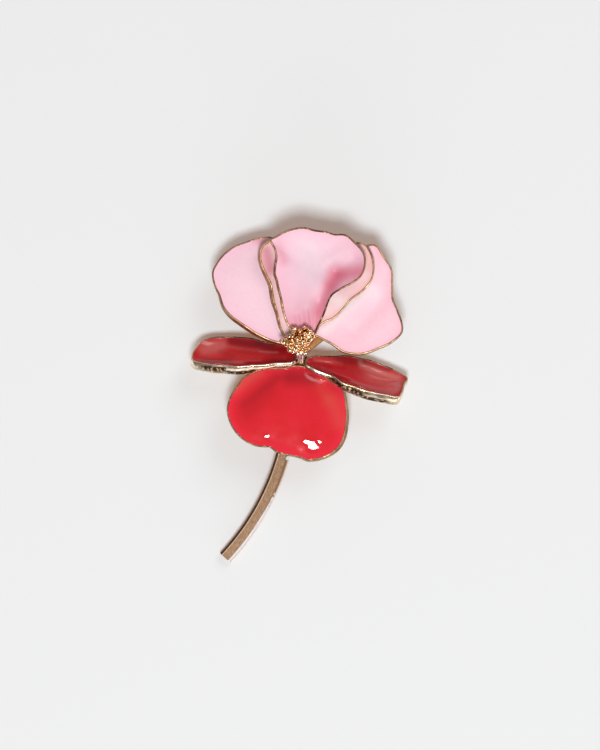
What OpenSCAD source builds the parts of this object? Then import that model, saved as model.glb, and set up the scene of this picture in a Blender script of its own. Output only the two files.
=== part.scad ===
// Flower brooch with enamelled petals, lying on its back as it is put down on a table.
// Millimetres. +X points right, +Y to the top petals and +Z out of the flower's face.
// The origin is in the middle of the surface that the brooch lies on.

/* [Petals] */
// Width of the raised gold rim round every petal
rim_w = 0.35; // [0.25:0.05:0.5]
// Depth of the cell that holds the enamel, below the rim
cell_depth = 0.45; // [0.35:0.05:0.5]
// How far the enamel's surface stays below the rim
enamel_sink = 0.06; // [0.03:0.01:0.1]
// Clearance between the enamel and the metal round it
enamel_gap = 0.04; // [0.03:0.01:0.06]
// Height of a petal's outer wall
petal_wall = 1; // [0.85:0.05:1.05]
// Height of the wall where a petal's root lies under its neighbours
root_wall = 0.85; // [0.75:0.05:0.9]
// Thickness of a petal in its middle, cell and floor together
middle_wall = 1; // [0.85:0.05:1.05]

/* [Side petals] */
// Lean of the two dark side petals towards the top of the flower, in degrees
wing_lean = 42; // [40:1:44]
// Drop of a side petal from its root to its tip, in degrees
wing_drop = 6; // [5:0.5:6.5]
// Height of a side petal's root above the table
wing_root_z = 7; // [6.9:0.1:7.2]
// Height of a side petal's outer wall
wing_wall = 2; // [1.8:0.1:2.2]

/* [Frame] */
// Underside of the hub plate above the table
hub_z = 3.5; // [3.4:0.1:3.6]
// Thickness of the hub plate
hub_t = 1.1; // [0.9:0.1:1.1]
// Radius of the hub plate
hub_r = 1.9; // [1.7:0.1:2]
// Radius of the post between the petals' roots
post_r = 0.55; // [0.45:0.05:0.6]
// Top of the post above the table
post_top = 7.9; // [7.6:0.1:8]
// Width of the two arms that carry the pink petals
arm_w = 2; // [1.6:0.1:2.2]
// Underside of the arms above the table
arm_z = 4.75; // [4.75:0.05:4.9]
// Top of the arms above the table
arm_top = 6; // [5.9:0.05:6]
// Width of the stem
stem_w = 2.5; // [2.2:0.1:2.7]
// Thickness of the stem
stem_t = 1.4; // [1.2:0.1:1.5]
// Narrow chamfer along the upper edge on the inside of the stem's bend
stem_chamfer = 0.3; // [0.2:0.05:0.4]
// Broad bevel along the upper edge on the outside of the stem's bend
stem_bevel = 0.6; // [0.45:0.05:0.7]
// Radius of the stem's bend
stem_bend_r = 44.4; // [44.1:0.1:44.7]

/* [Stamens] */
// Radius of a stamen's bead
bead_r = 0.46; // [0.4:0.02:0.5]
// Radius of a stamen's stalk under its bead
stalk_r = 0.22; // [0.18:0.02:0.26]
// Radius of the stamens' foot on the post
foot_r = 0.6; // [0.5:0.05:0.7]
// Radius of the head from which the stalks spread
head_r = 0.95; // [0.8:0.05:1.1]

/* [Pin] */
// Radius of the pin wire
wire_r = 0.4; // [0.35:0.05:0.45]
// Length of the pin's back plate
plate_l = 25; // [24:0.5:26]
// Width of the back plate
plate_w = 3.2; // [3:0.1:3.6]
// Thickness of the back plate
plate_t = 0.8; // [0.7:0.05:0.85]
// Outer radius of the knuckle's roll and of the catch, which both lie on the table
roll_r = 1.7; // [1.65:0.05:1.8]
// Radius of the catch's bore
catch_bore_r = 1.2; // [1.15:0.05:1.25]
// Length of the catch along the wire
catch_l = 2; // [1.6:0.1:2.4]
// Width of the slot through which the wire snaps into the catch
catch_slot = 1; // [0.95:0.05:1.1]
// Distance of the pin above the middle of the brooch
pin_y = 15.3; // [15:0.1:15.5]

/* [Detail] */
// Points worked out along the rim for each row of a rim table
rim_steps = 2; // [2:1:3]

/* [Hidden] */
gold = "#c9a063";
pink = "#f6c6d4";
red = "#d8262f";
dark_red = "#97202b";
round_fn = 48;

// Shares of the way from a petal's middle to its rim at which its surfaces have a loop of points
loop_shares = [0.4, 0.7, 0.88];

// A seat is the place of a petal's own plane: its origin, its along, across and up directions.
level_seat = [[0, 0, 0], [1, 0, 0], [0, 1, 0], [0, 0, 1]];

// Seat of a side petal: turned about the upright, lowered to its tip, then leaned over.
function unit(v) = v / norm(v);
function wing_seat(root, turn) =
    let (along = [cos(turn) * cos(wing_drop), sin(turn) * cos(wing_drop), -sin(wing_drop)],
        lean = [0, cos(wing_lean), -sin(wing_lean)],
        across = unit(lean - along * (lean * along)),
        up = cross(along, across))
    [[root[0], root[1], wing_root_z], along, across, up[2] < 0 ? -up : up];

// Each petal is described by one list with these places.
SEAT = 0;      // its seat
MIDDLE = 1;    // the middle of its face: along, across, height
DISH = 2;      // power of the curve from the middle out to the rim, higher for a flatter middle
WALL = 3;      // height of its outer wall
ROOT_DIR = 4;  // direction of its root, where the wall is lower
FLARE = 5;     // how far the wall's foot stands out past the rim
FLARE_DIR = 6; // direction in which it stands out
RIM = 7;       // rim table, a row for each turn of the rim: direction, reach, height
FOLDS = 8;     // fold table, a row for each fold: from x, y, to x, y, half width, depth

left_petal = [level_seat, [-6.5, 19, 7.4], 2, petal_wall, 300, 0.45, 240,
    [[30, 7.3, 7.2], [62, 9, 6.9], [81, 9.4, 6.4], [99, 9.2, 6.1], [112, 9.1, 6.1],
    [127, 9.4, 6.3], [152, 9.7, 6.7], [163, 9.7, 6.9], [179, 8.7, 7.2], [189, 8.1, 7.4],
    [205, 8, 7.6], [232, 7.5, 7.7], [249, 7.7, 7.7], [266, 8.5, 7.6], [279, 9.5, 7.4],
    [288, 10.3, 7.2], [298, 11.7, 7.05], [306, 11.3, 7.05], [322, 9.2, 7.1], [352, 6.9, 7.2]],
    []];

right_petal = [level_seat, [10, 16, 7.6], 2, petal_wall, 210, 0.15, 270,
    [[11, 6.6, 8], [31, 7.5, 8.2], [46, 9, 8.4], [60, 9.9, 8.5], [75, 11.3, 8.6],
    [95, 9, 7.9], [120, 5.8, 7.4], [150, 5, 7.2], [180, 6.2, 7.1], [202, 8.8, 7.05],
    [210, 10.2, 7.05], [218, 9, 7.1], [230, 8.35, 7.2], [242, 8.25, 7.3], [255, 8.6, 7.35],
    [276, 8.7, 7.4], [296, 8.6, 7.4], [314, 9.1, 7.6], [330, 9.4, 7.8], [343, 8.3, 7.9],
    [353, 7.4, 7.9]],
    [[14.2, 17, 9.4, 11.6, 1.8, 0.3]]];

centre_back_petal = [level_seat, [1.5, 20.5, 8.6], 2, petal_wall, 267, 0.45, 190,
    [[2, 11.3, 9.6], [18, 12, 9.7], [31, 11.9, 9.6], [37, 11.2, 9.6], [44, 9.5, 9.5],
    [64, 7.9, 9.4], [93, 8.1, 9.5], [120, 8.9, 9.5], [135, 9.9, 9.5], [145, 10.3, 9.5],
    [155, 9.7, 9.4], [174, 7.7, 9.2], [190, 6.9, 9.1], [212, 7.5, 8.8], [227, 8.4, 8.6],
    [245, 10.8, 8.3], [257, 12.2, 8.1], [267, 12.1, 8.1], [272, 11.1, 8.1], [277, 9.7, 8.2],
    [283, 8.4, 8.3], [291, 8, 8.45], [304, 8.1, 8.6], [324, 8, 8.9], [337, 8.4, 9.1],
    [350, 10, 9.4]],
    []];

centre_front_petal = [level_seat, [1, 22, 10], 2, petal_wall, 269, 0.15, 200,
    [[3, 10.4, 11.8], [16, 10.75, 11.6], [30, 10.1, 11.4], [43, 9.5, 11.3], [52, 8.35, 11.2],
    [60, 8, 11.1], [77, 7.5, 11.1], [93, 7.8, 11.2], [105, 7.9, 11.2], [128, 8.15, 11.2],
    [139, 8.45, 11.1], [146, 6.8, 11], [159, 5.8, 10.9], [185, 5.7, 10.7], [200, 5.6, 10.6],
    [223, 6.4, 10.4], [238, 8, 10.1], [253, 10.5, 9.6], [263, 12.8, 9.2], [269, 13.2, 9.2],
    [275, 12.7, 9.2], [282, 10.1, 9.6], [301, 7.2, 10.6], [318, 6.3, 11.4], [334, 7.1, 11.9],
    [345, 8.45, 12], [354, 9.7, 12]],
    [[9.5, 23.8, 6.2, 21.8, 1.6, 0.5], [6.2, 21.8, 3.6, 16.5, 1.4, 0.5]]];

bottom_petal = [level_seat, [-2, -3, 7.2], 3, petal_wall, 78, 0.4, 330,
    [[7, 10.3, 6.45], [22, 10.4, 6.2], [38, 9.3, 5.75], [59, 8.6, 5.45], [78, 8.6, 5.7],
    [100, 8.1, 5.95], [126, 9.4, 6.2], [142, 10.3, 6.4], [152, 10.5, 6.5], [171, 11.1, 6.6],
    [182, 11.1, 6.7], [202, 10.2, 6.8], [223, 8.7, 6.8], [235, 7.6, 6.9], [241, 7.2, 6.9],
    [249, 7.4, 6.9], [259, 7.6, 6.9], [270, 7.7, 6.9], [283, 8.3, 6.8], [291, 9.2, 6.8],
    [303, 9.9, 6.8], [320, 10.7, 6.8], [332, 10.8, 6.7], [350, 10.4, 6.6]],
    []];

left_wing = [wing_seat([-0.5, 7.2], 178), [10.5, 0.3, -1.2], 3.5, wing_wall, 180, 0, 0,
    [[8, 8.05, 0], [21, 7.5, 0], [33, 6.45, 0], [53, 4.8, 0], [90, 3.8, 0], [138, 4.7, 0],
    [158, 7, 0], [167, 9.1, 0], [180, 10.2, 0], [191, 10.1, 0], [202, 6.7, 0], [235, 3.8, 0],
    [297, 3.8, 0], [327, 5.95, 0], [343, 8.5, 0], [352, 8.65, 0]],
    []];

right_wing = [wing_seat([0.6, 6], -13), [10.5, 0.3, -1.2], 3.5, wing_wall, 180, 0, 0,
    [[11, 8.75, 0], [19, 7.8, 0], [30, 6.45, 0], [49, 5, 0], [73, 4.3, 0], [100, 4.1, 0],
    [142, 5.5, 0], [158, 7, 0], [168, 9, 0], [176, 10.2, 0], [184, 10.2, 0], [189, 8.8, 0],
    [201, 5.6, 0], [221, 4.6, 0], [254, 3.5, 0], [297, 4.2, 0], [322, 5.95, 0],
    [334, 7.95, 0], [341, 8.15, 0], [359, 8.15, 0]],
    []];

// Row k of a rim table that goes on round and round
function rim_turn(rows, k) =
    let (n = len(rows), lap = floor(k / n))
    rows[k - lap * n] + [360 * lap, 0, 0];

// Smooth curve through the rows of a rim table, u of the way from row k to the next one
function rim_between(rows, k, u) =
    let (a = rim_turn(rows, k - 1), b = rim_turn(rows, k), c = rim_turn(rows, k + 1),
        d = rim_turn(rows, k + 2))
    (2 * b + (c - a) * u + (2 * a - 5 * b + 4 * c - d) * u * u
        + (3 * b - a - 3 * c + d) * u * u * u) / 2;

// The whole rim as directions, reaches and heights
function rim_curve(petal) =
    [for (k = [0:len(petal[RIM]) - 1], j = [0:rim_steps - 1])
        rim_between(petal[RIM], k, j / rim_steps)];

// Place in the petal's plane that is this reach from its middle
function reach_point(petal, direction, reach) =
    [petal[MIDDLE][0] + reach * cos(direction), petal[MIDDLE][1] + reach * sin(direction)];

// How near a direction is to another: 1 when equal, 0 from a right angle on
function nearness(a, b, power) = pow(max(0, cos(a - b)), power);

// Distance from a place to the straight line of a fold
function fold_distance(fold, p) =
    let (a = [fold[0], fold[1]], b = [fold[2], fold[3]],
        t = min(1, max(0, (p - a) * (b - a) / ((b - a) * (b - a)))))
    norm(p - a - t * (b - a));

// Depth of all the folds together at a place
function fold_depth(folds, p, k = 0) =
    k == len(folds) ? 0
        : folds[k][5] * exp(-pow(fold_distance(folds[k], p) / folds[k][4], 2))
            + fold_depth(folds, p, k + 1);

// Height of a petal's face at a share of the way from its middle to the rim row
function face_height(petal, row, share) =
    let (middle = petal[MIDDLE][2])
    middle + (row[2] - middle) * pow(share, petal[DISH])
        - fold_depth(petal[FOLDS], reach_point(petal, row[0], share * row[1]));

// Height of the outer wall below a rim row
function wall_height(petal, row) =
    petal[WALL] + (root_wall - petal[WALL]) * nearness(row[0], petal[ROOT_DIR], 4);

// Points of the rim set in by a distance, square to the rim
function inset_rim(petal, rim, inset) =
    let (n = len(rim), p = [for (row = rim) reach_point(petal, row[0], row[1])])
    [for (k = [0:n - 1])
        let (run = unit(p[(k + 1) % n] - p[(k + n - 1) % n]))
        p[k] + inset * [-run[1], run[0]]];

// One loop of a petal's face: set in from the rim, shrunk to a share, sunk below the face
function face_loop(petal, rim, inset, share, sink) =
    let (edge = inset_rim(petal, rim, inset), middle = [petal[MIDDLE][0], petal[MIDDLE][1]])
    [for (k = [0:len(rim) - 1])
        let (p = middle + share * (edge[k] - middle),
            z = face_height(petal, rim[k], norm(p - middle) / rim[k][1]))
        [p[0], p[1], z - sink]];

// One loop of a petal's back, a share of the way from its middle to the foot of its wall
function back_loop(petal, rim, share) =
    [for (row = rim)
        let (flare = petal[FLARE] * nearness(row[0], petal[FLARE_DIR], 2),
            p = reach_point(petal, row[0], share * (row[1] + flare)),
            thick = middle_wall + (wall_height(petal, row) - middle_wall) * share * share)
        [p[0], p[1], face_height(petal, row, share) - thick]];

// The point of a face or back at the petal's middle
function middle_point(petal, sink) =
    let (m = petal[MIDDLE])
    [m[0], m[1], m[2] - fold_depth(petal[FOLDS], [m[0], m[1]]) - sink];

// A point of the petal's plane in the frame of the brooch
function seated(petal, p) =
    petal[SEAT][0] + p[0] * petal[SEAT][1] + p[1] * petal[SEAT][2] + p[2] * petal[SEAT][3];

// A closed skin over loops that run from the middle of the face out to the rim, which is loop
// number turn, and from there in again to the middle of the back. The quads of face and back are
// split along the same diagonals, so that enamel and metal nest without touching.
module skin(petal, top, loops, turn, bottom) {
    n = len(loops[0]);
    last = len(loops) - 1;
    flat = [for (loop = loops, p = loop) p];
    points = [for (p = concat([top], flat, [bottom])) seated(petal, p)];
    end = len(points) - 1;
    seat = petal[SEAT];
    left_handed = cross(seat[1], seat[2]) * seat[3] < 0;
    faces = [for (k = [0:n - 1])
        let (next = (k + 1) % n)
        each concat([[0, 1 + next, 1 + k]],
            [for (r = [0:last - 1])
                let (a = 1 + r * n + k, b = 1 + r * n + next)
                each r < turn ? [[a, b, b + n], [a, b + n, a + n]]
                    : [[a, b, a + n], [b, b + n, a + n]]],
            [[end, 1 + last * n + k, 1 + last * n + next]])];
    polyhedron(points, left_handed ? [for (f = faces) [f[2], f[1], f[0]]] : faces);
}

// The metal of a petal: a floor, a raised rim, an outer wall and a back
module petal_metal(petal) {
    rim = rim_curve(petal);
    outward = loop_shares;
    inward = [for (k = [len(loop_shares) - 1:-1:0]) loop_shares[k]];
    loops = concat(
        [for (s = outward) face_loop(petal, rim, rim_w, s, cell_depth)],
        [face_loop(petal, rim, rim_w, 1, cell_depth)],
        [face_loop(petal, rim, rim_w, 1, 0)],
        [face_loop(petal, rim, 0, 1, 0)],
        [back_loop(petal, rim, 1)],
        [for (s = inward) back_loop(petal, rim, s)]);
    color(gold)
        skin(petal, middle_point(petal, cell_depth), loops, len(loop_shares) + 2,
            middle_point(petal, middle_wall));
}

// The enamel that fills a petal's cell
module petal_enamel(petal, colour) {
    rim = rim_curve(petal);
    inset = rim_w + enamel_gap;
    floor_sink = cell_depth - enamel_gap;
    inward = [for (k = [len(loop_shares) - 1:-1:0]) loop_shares[k]];
    loops = concat(
        [for (s = loop_shares) face_loop(petal, rim, inset, s, enamel_sink)],
        [face_loop(petal, rim, inset, 1, enamel_sink)],
        [face_loop(petal, rim, inset, 1, floor_sink)],
        [for (s = inward) face_loop(petal, rim, inset, s, floor_sink)]);
    color(colour)
        skin(petal, middle_point(petal, enamel_sink), loops, len(loop_shares),
            middle_point(petal, floor_sink));
}

// Flat bar with round ends between two places of the plan
module round_bar(from, to, width, bottom, top) {
    run = to - from;
    translate([from[0], from[1], bottom])
        rotate([0, 0, atan2(run[1], run[0])]) {
            translate([0, -width / 2, 0])
                cube([norm(run), width, top - bottom]);
            cylinder(r = width / 2, h = top - bottom, $fn = round_fn);
            translate([norm(run), 0, 0])
                cylinder(r = width / 2, h = top - bottom, $fn = round_fn);
        }
}

// The stem's bend is an arc about this place of the plan, between these two directions.
stem_centre = [-46, 1];
stem_from = -43.1;
stem_to = 6;
// The stem leaves the hub at this place and height, and drops until its tip lies on the table.
stem_root_y = 6;
stem_root_z = 2.9;
stem_run = stem_root_y - stem_centre[1] - (stem_bend_r + stem_w / 2) * sin(stem_from);
stem_drop = asin(stem_root_z / stem_run);

// The curved stem: a bar with a chamfer and a bevel on top, swept along its bend and tipped
module stem() {
    half = stem_w / 2;
    translate([stem_centre[0], stem_root_y, stem_root_z])
        rotate([stem_drop, 0, 0])
            translate([0, stem_centre[1] - stem_root_y, 0])
                rotate([0, 0, stem_from])
                    rotate_extrude(angle = stem_to - stem_from, $fn = 180)
                        translate([stem_bend_r, 0])
                            polygon([[-half, 0], [half, 0], [half, stem_t - stem_bevel],
                                [half - stem_bevel, stem_t], [stem_chamfer - half, stem_t],
                                [-half, stem_t - stem_chamfer]]);
}

// Places of the plan where the post, the hub plate and the ends of the arms are
post_at = [0.05, 6.15];
hub_at = [-0.6, 6.2];
neck_at = [0.35, 8.2];
fork_at = [0.35, 10.3];
left_arm_end = [-7.2, 15];
right_arm_end = [8.9, 14.7];

// Hub plate, post, neck, arms and stem, soldered into one piece
module frame() {
    color(gold) {
        translate([hub_at[0], hub_at[1], hub_z])
            cylinder(r = hub_r, h = hub_t, $fn = round_fn);
        translate([post_at[0], post_at[1], hub_z])
            cylinder(r = post_r, h = post_top - hub_z, $fn = round_fn);
        round_bar(neck_at, right_arm_end, arm_w, arm_z, arm_top);
        round_bar(neck_at, fork_at, arm_w, hub_z, arm_top);
        round_bar(fork_at, left_arm_end, arm_w, arm_z, arm_top);
        stem();
    }
}

// Stamens, a row for each: the bead's place, and its size beside the common one
stamen_rows = [
    [-1.5, 11.7, 11.2, 1], [-0.1, 11.4, 11.7, 0.95], [0.7, 11.9, 11.3, 1.05],
    [1.65, 11.2, 11.5, 1], [2.45, 10.6, 11, 1.1], [-3.35, 9.7, 10.4, 1], [-2.4, 9.5, 11, 0.9],
    [-1.85, 9.4, 11.5, 0.95], [-2, 10.5, 11.3, 0.95], [-1.4, 10.6, 11.9, 0.95],
    [-0.55, 10.1, 12.3, 1], [-1.15, 11.2, 11.6, 0.9], [-0.7, 9.1, 12, 1], [0.4, 9.4, 12.38, 1],
    [1.2, 9.1, 11.9, 1], [-1.95, 8.1, 10.8, 1], [-0.4, 8.6, 11.6, 0.9], [1.4, 10.5, 12, 1],
    [0.75, 10.8, 12.2, 0.95], [-0.9, 8.1, 11.3, 0.95], [0.75, 7.5, 10.9, 0.9]];
// Middle of the head from which the stalks spread
stamen_head = [0, 8, 9.7];

// Cast cluster of stamens: a foot on the post, a head, and a stalk and a bead for each row
module stamens() {
    foot_z = post_top + 0.05;
    color(gold) {
        hull() {
            translate([post_at[0], post_at[1], foot_z])
                cylinder(r = foot_r, h = 0.4, $fn = 16);
            translate(stamen_head)
                sphere(r = head_r, $fn = 12);
        }
        for (row = stamen_rows) {
            bead = [row[0], row[1], row[2]];
            hull() {
                translate(stamen_head)
                    sphere(r = stalk_r * 2, $fn = 8);
                translate(bead)
                    sphere(r = stalk_r, $fn = 8);
            }
            translate(bead)
                sphere(r = bead_r * row[3], $fn = 12);
        }
    }
}

// The back plate is centred a little to the right, and lies just under the arms.
plate_mid_x = 1.5;
plate_left = plate_mid_x - plate_l / 2;
plate_right = plate_mid_x + plate_l / 2;
plate_under = 0.05;
plate_z = arm_z - plate_under - plate_t;
// The knuckle's middle, and where the catch starts
knuckle_x = plate_left + roll_r;
catch_margin = 0.4;
catch_x = plate_right - catch_l - catch_margin;
// Width of the lugs that join the knuckle and the catch to the plate, and how far they enter it
lug_w = 1.6;
lug_bite = 0.2;
// The wire's full round part ends inside the catch, and its tip tapers to a point.
wire_l = catch_x - knuckle_x + 0.4;
tip_l = 1.2;
tip_r = 0.1;

// The pin wire, turned about its own axis, with its tapered tip
module pin_wire() {
    rotate_extrude($fn = round_fn)
        polygon([[0, 0], [wire_r, 0], [wire_r, wire_l], [tip_r, wire_l + tip_l],
            [0, wire_l + tip_l]]);
}

// The catch: a short tube on a lug, slit so that the wire snaps in
module catch() {
    past = 1;
    difference() {
        union() {
            rotate([0, 90, 0])
                cylinder(r = roll_r, h = catch_l, $fn = round_fn);
            translate([0, -lug_w / 2, 0])
                cube([catch_l, lug_w, plate_z - roll_r + lug_bite]);
        }
        translate([-past, 0, 0])
            rotate([0, 90, 0])
                cylinder(r = catch_bore_r, h = catch_l + 2 * past, $fn = round_fn);
        translate([-past, -roll_r - past, -catch_slot / 2])
            cube([catch_l + 2 * past, roll_r + past, catch_slot]);
    }
}

// Hidden pin: back plate, knuckle, wire and open catch in one plain piece
module pin_back() {
    color(gold)
        translate([0, pin_y, 0]) {
            round_bar([plate_left + plate_w / 2, 0], [plate_right - plate_w / 2, 0],
                plate_w, plate_z, plate_z + plate_t);
            translate([knuckle_x, plate_w / 2, roll_r])
                rotate([90, 0, 0])
                    cylinder(r = roll_r, h = plate_w, $fn = round_fn);
            translate([knuckle_x - lug_w / 2, -plate_w / 2, roll_r])
                cube([lug_w, plate_w, plate_z - roll_r + lug_bite]);
            translate([knuckle_x, 0, roll_r])
                rotate([0, 90, 0])
                    pin_wire();
            translate([catch_x, 0, roll_r])
                catch();
        }
}

petal_metal(left_petal);  // petal_left
petal_metal(right_petal);  // petal_right
petal_metal(centre_back_petal);  // petal_centre_back
petal_metal(centre_front_petal);  // petal_centre_front
petal_metal(bottom_petal);  // petal_bottom
petal_metal(left_wing);  // wing_left
petal_metal(right_wing);  // wing_right
petal_enamel(left_petal, pink);  // enamel_left
petal_enamel(right_petal, pink);  // enamel_right
petal_enamel(centre_back_petal, pink);  // enamel_centre_back
petal_enamel(centre_front_petal, pink);  // enamel_centre_front
petal_enamel(bottom_petal, red);  // enamel_bottom
petal_enamel(left_wing, dark_red);  // enamel_wing_left
petal_enamel(right_wing, dark_red);  // enamel_wing_right
frame();
stamens();
pin_back();
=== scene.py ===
"""Looks of an enamelled flower brooch, built round its fixed model.

Sizes are in millimetres, in the frame of the brooch: +X right, +Y to the top petals, +Z out of
the flower's face. They turn into metres only where a mesh, a lamp or the camera is made.
"""
import itertools
import logging
import math
from dataclasses import dataclass, field
from enum import Enum
from functools import cache

import bpy
import numpy as np
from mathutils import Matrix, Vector


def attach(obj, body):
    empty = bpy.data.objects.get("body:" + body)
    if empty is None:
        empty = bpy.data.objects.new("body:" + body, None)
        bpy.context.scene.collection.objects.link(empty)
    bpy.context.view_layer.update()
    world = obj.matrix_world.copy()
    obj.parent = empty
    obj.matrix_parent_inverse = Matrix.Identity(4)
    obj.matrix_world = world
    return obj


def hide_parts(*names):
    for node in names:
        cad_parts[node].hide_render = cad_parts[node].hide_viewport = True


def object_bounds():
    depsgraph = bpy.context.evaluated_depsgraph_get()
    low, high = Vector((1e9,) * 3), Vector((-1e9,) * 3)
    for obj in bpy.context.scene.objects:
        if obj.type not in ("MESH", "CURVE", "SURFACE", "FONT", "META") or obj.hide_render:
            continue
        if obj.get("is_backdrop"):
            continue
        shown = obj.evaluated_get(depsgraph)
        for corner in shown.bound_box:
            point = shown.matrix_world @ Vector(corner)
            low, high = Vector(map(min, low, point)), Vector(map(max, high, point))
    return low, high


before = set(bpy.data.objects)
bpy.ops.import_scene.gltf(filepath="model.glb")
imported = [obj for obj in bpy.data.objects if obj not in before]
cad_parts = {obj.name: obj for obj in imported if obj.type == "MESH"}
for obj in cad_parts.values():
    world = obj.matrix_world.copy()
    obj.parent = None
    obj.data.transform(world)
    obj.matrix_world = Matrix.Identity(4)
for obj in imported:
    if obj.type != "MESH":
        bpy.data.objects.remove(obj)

CAD_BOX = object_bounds()
LOG = logging.getLogger("brooch")
MM = 0.001
Array = np.ndarray
Piece = bpy.types.Object
Material = bpy.types.Material
Socket = bpy.types.NodeSocket
Pair = tuple[float, float]
Triple = tuple[float, float, float]
Four = tuple[float, float, float, float]
Colour = str | Triple


# Numbers and noise


def unit(rows: Array) -> Array:
    """Returns a vector, or each row of several, at length 1."""
    return rows / np.linalg.norm(rows, axis=-1, keepdims=True)


def turned(angle: Array | float) -> tuple[Array, Array]:
    """Returns the cosine and the sine of an angle in degrees."""
    return np.cos(np.radians(angle)), np.sin(np.radians(angle))


def nearness(angle: Array, other: float, power: float) -> Array:
    """How near directions are to another one: 1 when equal, 0 from a right angle on.

    Args:
        angle: the directions, in degrees.
        other: the direction compared with, in degrees.
        power: how sharply it falls off.

    Returns:
        The cosine of the difference, cut at 0 and raised to the power.
    """
    return np.maximum(0.0, turned(angle - other)[0]) ** power


def lattice_noise(points: Array, size: float, seed: int) -> Array:
    """Smooth noise from -1 to 1.

    Each corner of a lattice of cubes has a fixed value, hashed from its whole-number place. A
    point takes the mean of the eight corners round it, weighted along each axis with the smooth
    step 3t^2 - 2t^3.

    Args:
        points: places, the last axis being x, y and z.
        size: edge of a cube, in the points' own unit.
        seed: a whole number that picks one pattern.

    Returns:
        One value for each point.
    """
    place = np.asarray(points, float) / size
    cell = np.floor(place).astype(np.int64)
    t = place - cell
    t = t * t * (3.0 - 2.0 * t)
    total = np.zeros(place.shape[:-1])
    for corner in itertools.product((0, 1), repeat=3):
        key = cell + np.array(corner)
        mixed = key[..., 0] * 73856093 ^ key[..., 1] * 19349663 ^ key[..., 2] * 83492791
        mixed = (mixed ^ seed * 40503) & 0xFFFFFFFF
        mixed = (mixed ^ mixed >> 15) * 739981 & 0xFFFFFFFF
        mixed = (mixed ^ mixed >> 12) * 362437 & 0xFFFFFFFF
        value = (mixed >> 8 & 0xFFFF) / 32767.5 - 1.0
        total += value * np.prod(np.where(corner, t, 1.0 - t), axis=-1)
    return total


def rough_noise(points: Array, size: float, seed: int) -> Array:
    """Returns lattice noise of three sizes, each half as large and half as strong as the last."""
    sizes = enumerate((1.0, 0.5, 0.25))
    return sum(lattice_noise(points, size * part, seed + k) * part for k, part in sizes) / 1.75


# Meshes


@dataclass
class Shell:
    """A closed surface: its points, its faces and named marks that its finish reads."""

    points: Array
    quads: Array
    triangles: Array
    marks: dict[str, Array] = field(default_factory=dict)

    def volume(self) -> float:
        """Returns the volume inside, negative where the faces point inwards.

        It is a sixth of the sum, over all triangles, of the determinant of their corners.
        """
        split = np.vstack([self.triangles, self.quads[:, [0, 1, 2]], self.quads[:, [0, 2, 3]]])
        return float(np.linalg.det(self.points[split]).sum() / 6.0)

    def outward(self) -> "Shell":
        """Returns the same surface with its faces pointing outwards."""
        way = 1 if self.volume() >= 0.0 else -1
        return Shell(self.points, self.quads[:, ::way], self.triangles[:, ::way], self.marks)


def joined(shells: list[Shell]) -> Shell:
    """Joins several unmarked shells, without fusing them.

    Args:
        shells: the shells.

    Returns:
        One shell with all their points and faces.
    """
    starts = np.cumsum([0] + [len(s.points) for s in shells[:-1]])
    quads = np.vstack([s.quads + start for s, start in zip(shells, starts)])
    triangles = np.vstack([s.triangles + start for s, start in zip(shells, starts)])
    return Shell(np.vstack([s.points for s in shells]), quads, triangles)


def skin(loops: Array, first: Array, last: Array, marks: dict[str, Array] | None = None) -> Shell:
    """A closed skin over loops of points, with a pole at each end.

    Point k of loop r is joined to its neighbours k + 1 and r + 1 by one quad, and the end loops
    are joined to the poles by triangles.

    Args:
        loops: places by loop, point and axis.
        first: the pole before the first loop.
        last: the pole after the last loop.
        marks: values by loop and point. A pole takes the mean of its loop.

    Returns:
        The shell, its faces pointing outwards.
    """
    count, around = loops.shape[:2]
    ids = 1 + np.arange(count * around).reshape(count, around)
    after = np.roll(ids, -1, axis=1)
    quads = np.stack([ids[:-1], after[:-1], after[1:], ids[1:]], axis=-1).reshape(-1, 4)
    end = count * around + 1
    top = np.stack([np.zeros(around, int), after[0], ids[0]], axis=-1)
    bottom = np.stack([np.full(around, end), ids[-1], after[-1]], axis=-1)
    spread = {
        name: np.concatenate([[value[0].mean()], value.ravel(), [value[-1].mean()]])
        for name, value in (marks or {}).items()
    }
    points = np.vstack([first, loops.reshape(-1, 3), last])
    return Shell(points, quads, np.vstack([top, bottom]), spread).outward()


def linked(name: str, data: bpy.types.ID) -> Piece:
    """Makes an object.

    Args:
        name: its name.
        data: the mesh, lamp or camera that it holds.

    Returns:
        The object, linked to the scene.
    """
    piece = bpy.data.objects.new(name, data)
    bpy.context.scene.collection.objects.link(piece)
    return piece


def marked(piece: Piece, mark: str, values: Array) -> None:
    """Writes one value for each vertex of an object, for its finish to read."""
    attribute = piece.data.attributes.new(mark, "FLOAT", "POINT")
    attribute.data.foreach_set("value", values.astype(np.float32))


def as_object(shell: Shell, name: str) -> Piece:
    """Puts a shell into a new object, in metres and shaded smooth.

    Args:
        shell: the surface, in millimetres.
        name: the object's name.

    Returns:
        The object, linked to the scene.
    """
    mesh = bpy.data.meshes.new(name)
    faces = shell.triangles.tolist() + shell.quads.tolist()
    mesh.from_pydata((shell.points * MM).tolist(), [], faces)
    mesh.polygons.foreach_set("use_smooth", np.ones(len(faces), bool))
    piece = linked(name, mesh)
    for mark, values in shell.marks.items():
        marked(piece, mark, values)
    mesh.update()
    return piece


def finished_mesh(piece: Piece) -> None:
    """Applies an object's modifiers to its mesh.

    Args:
        piece: the object.
    """
    graph = bpy.context.evaluated_depsgraph_get()
    mesh = bpy.data.meshes.new_from_object(piece.evaluated_get(graph))
    piece.modifiers.clear()
    piece.data = mesh


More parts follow.
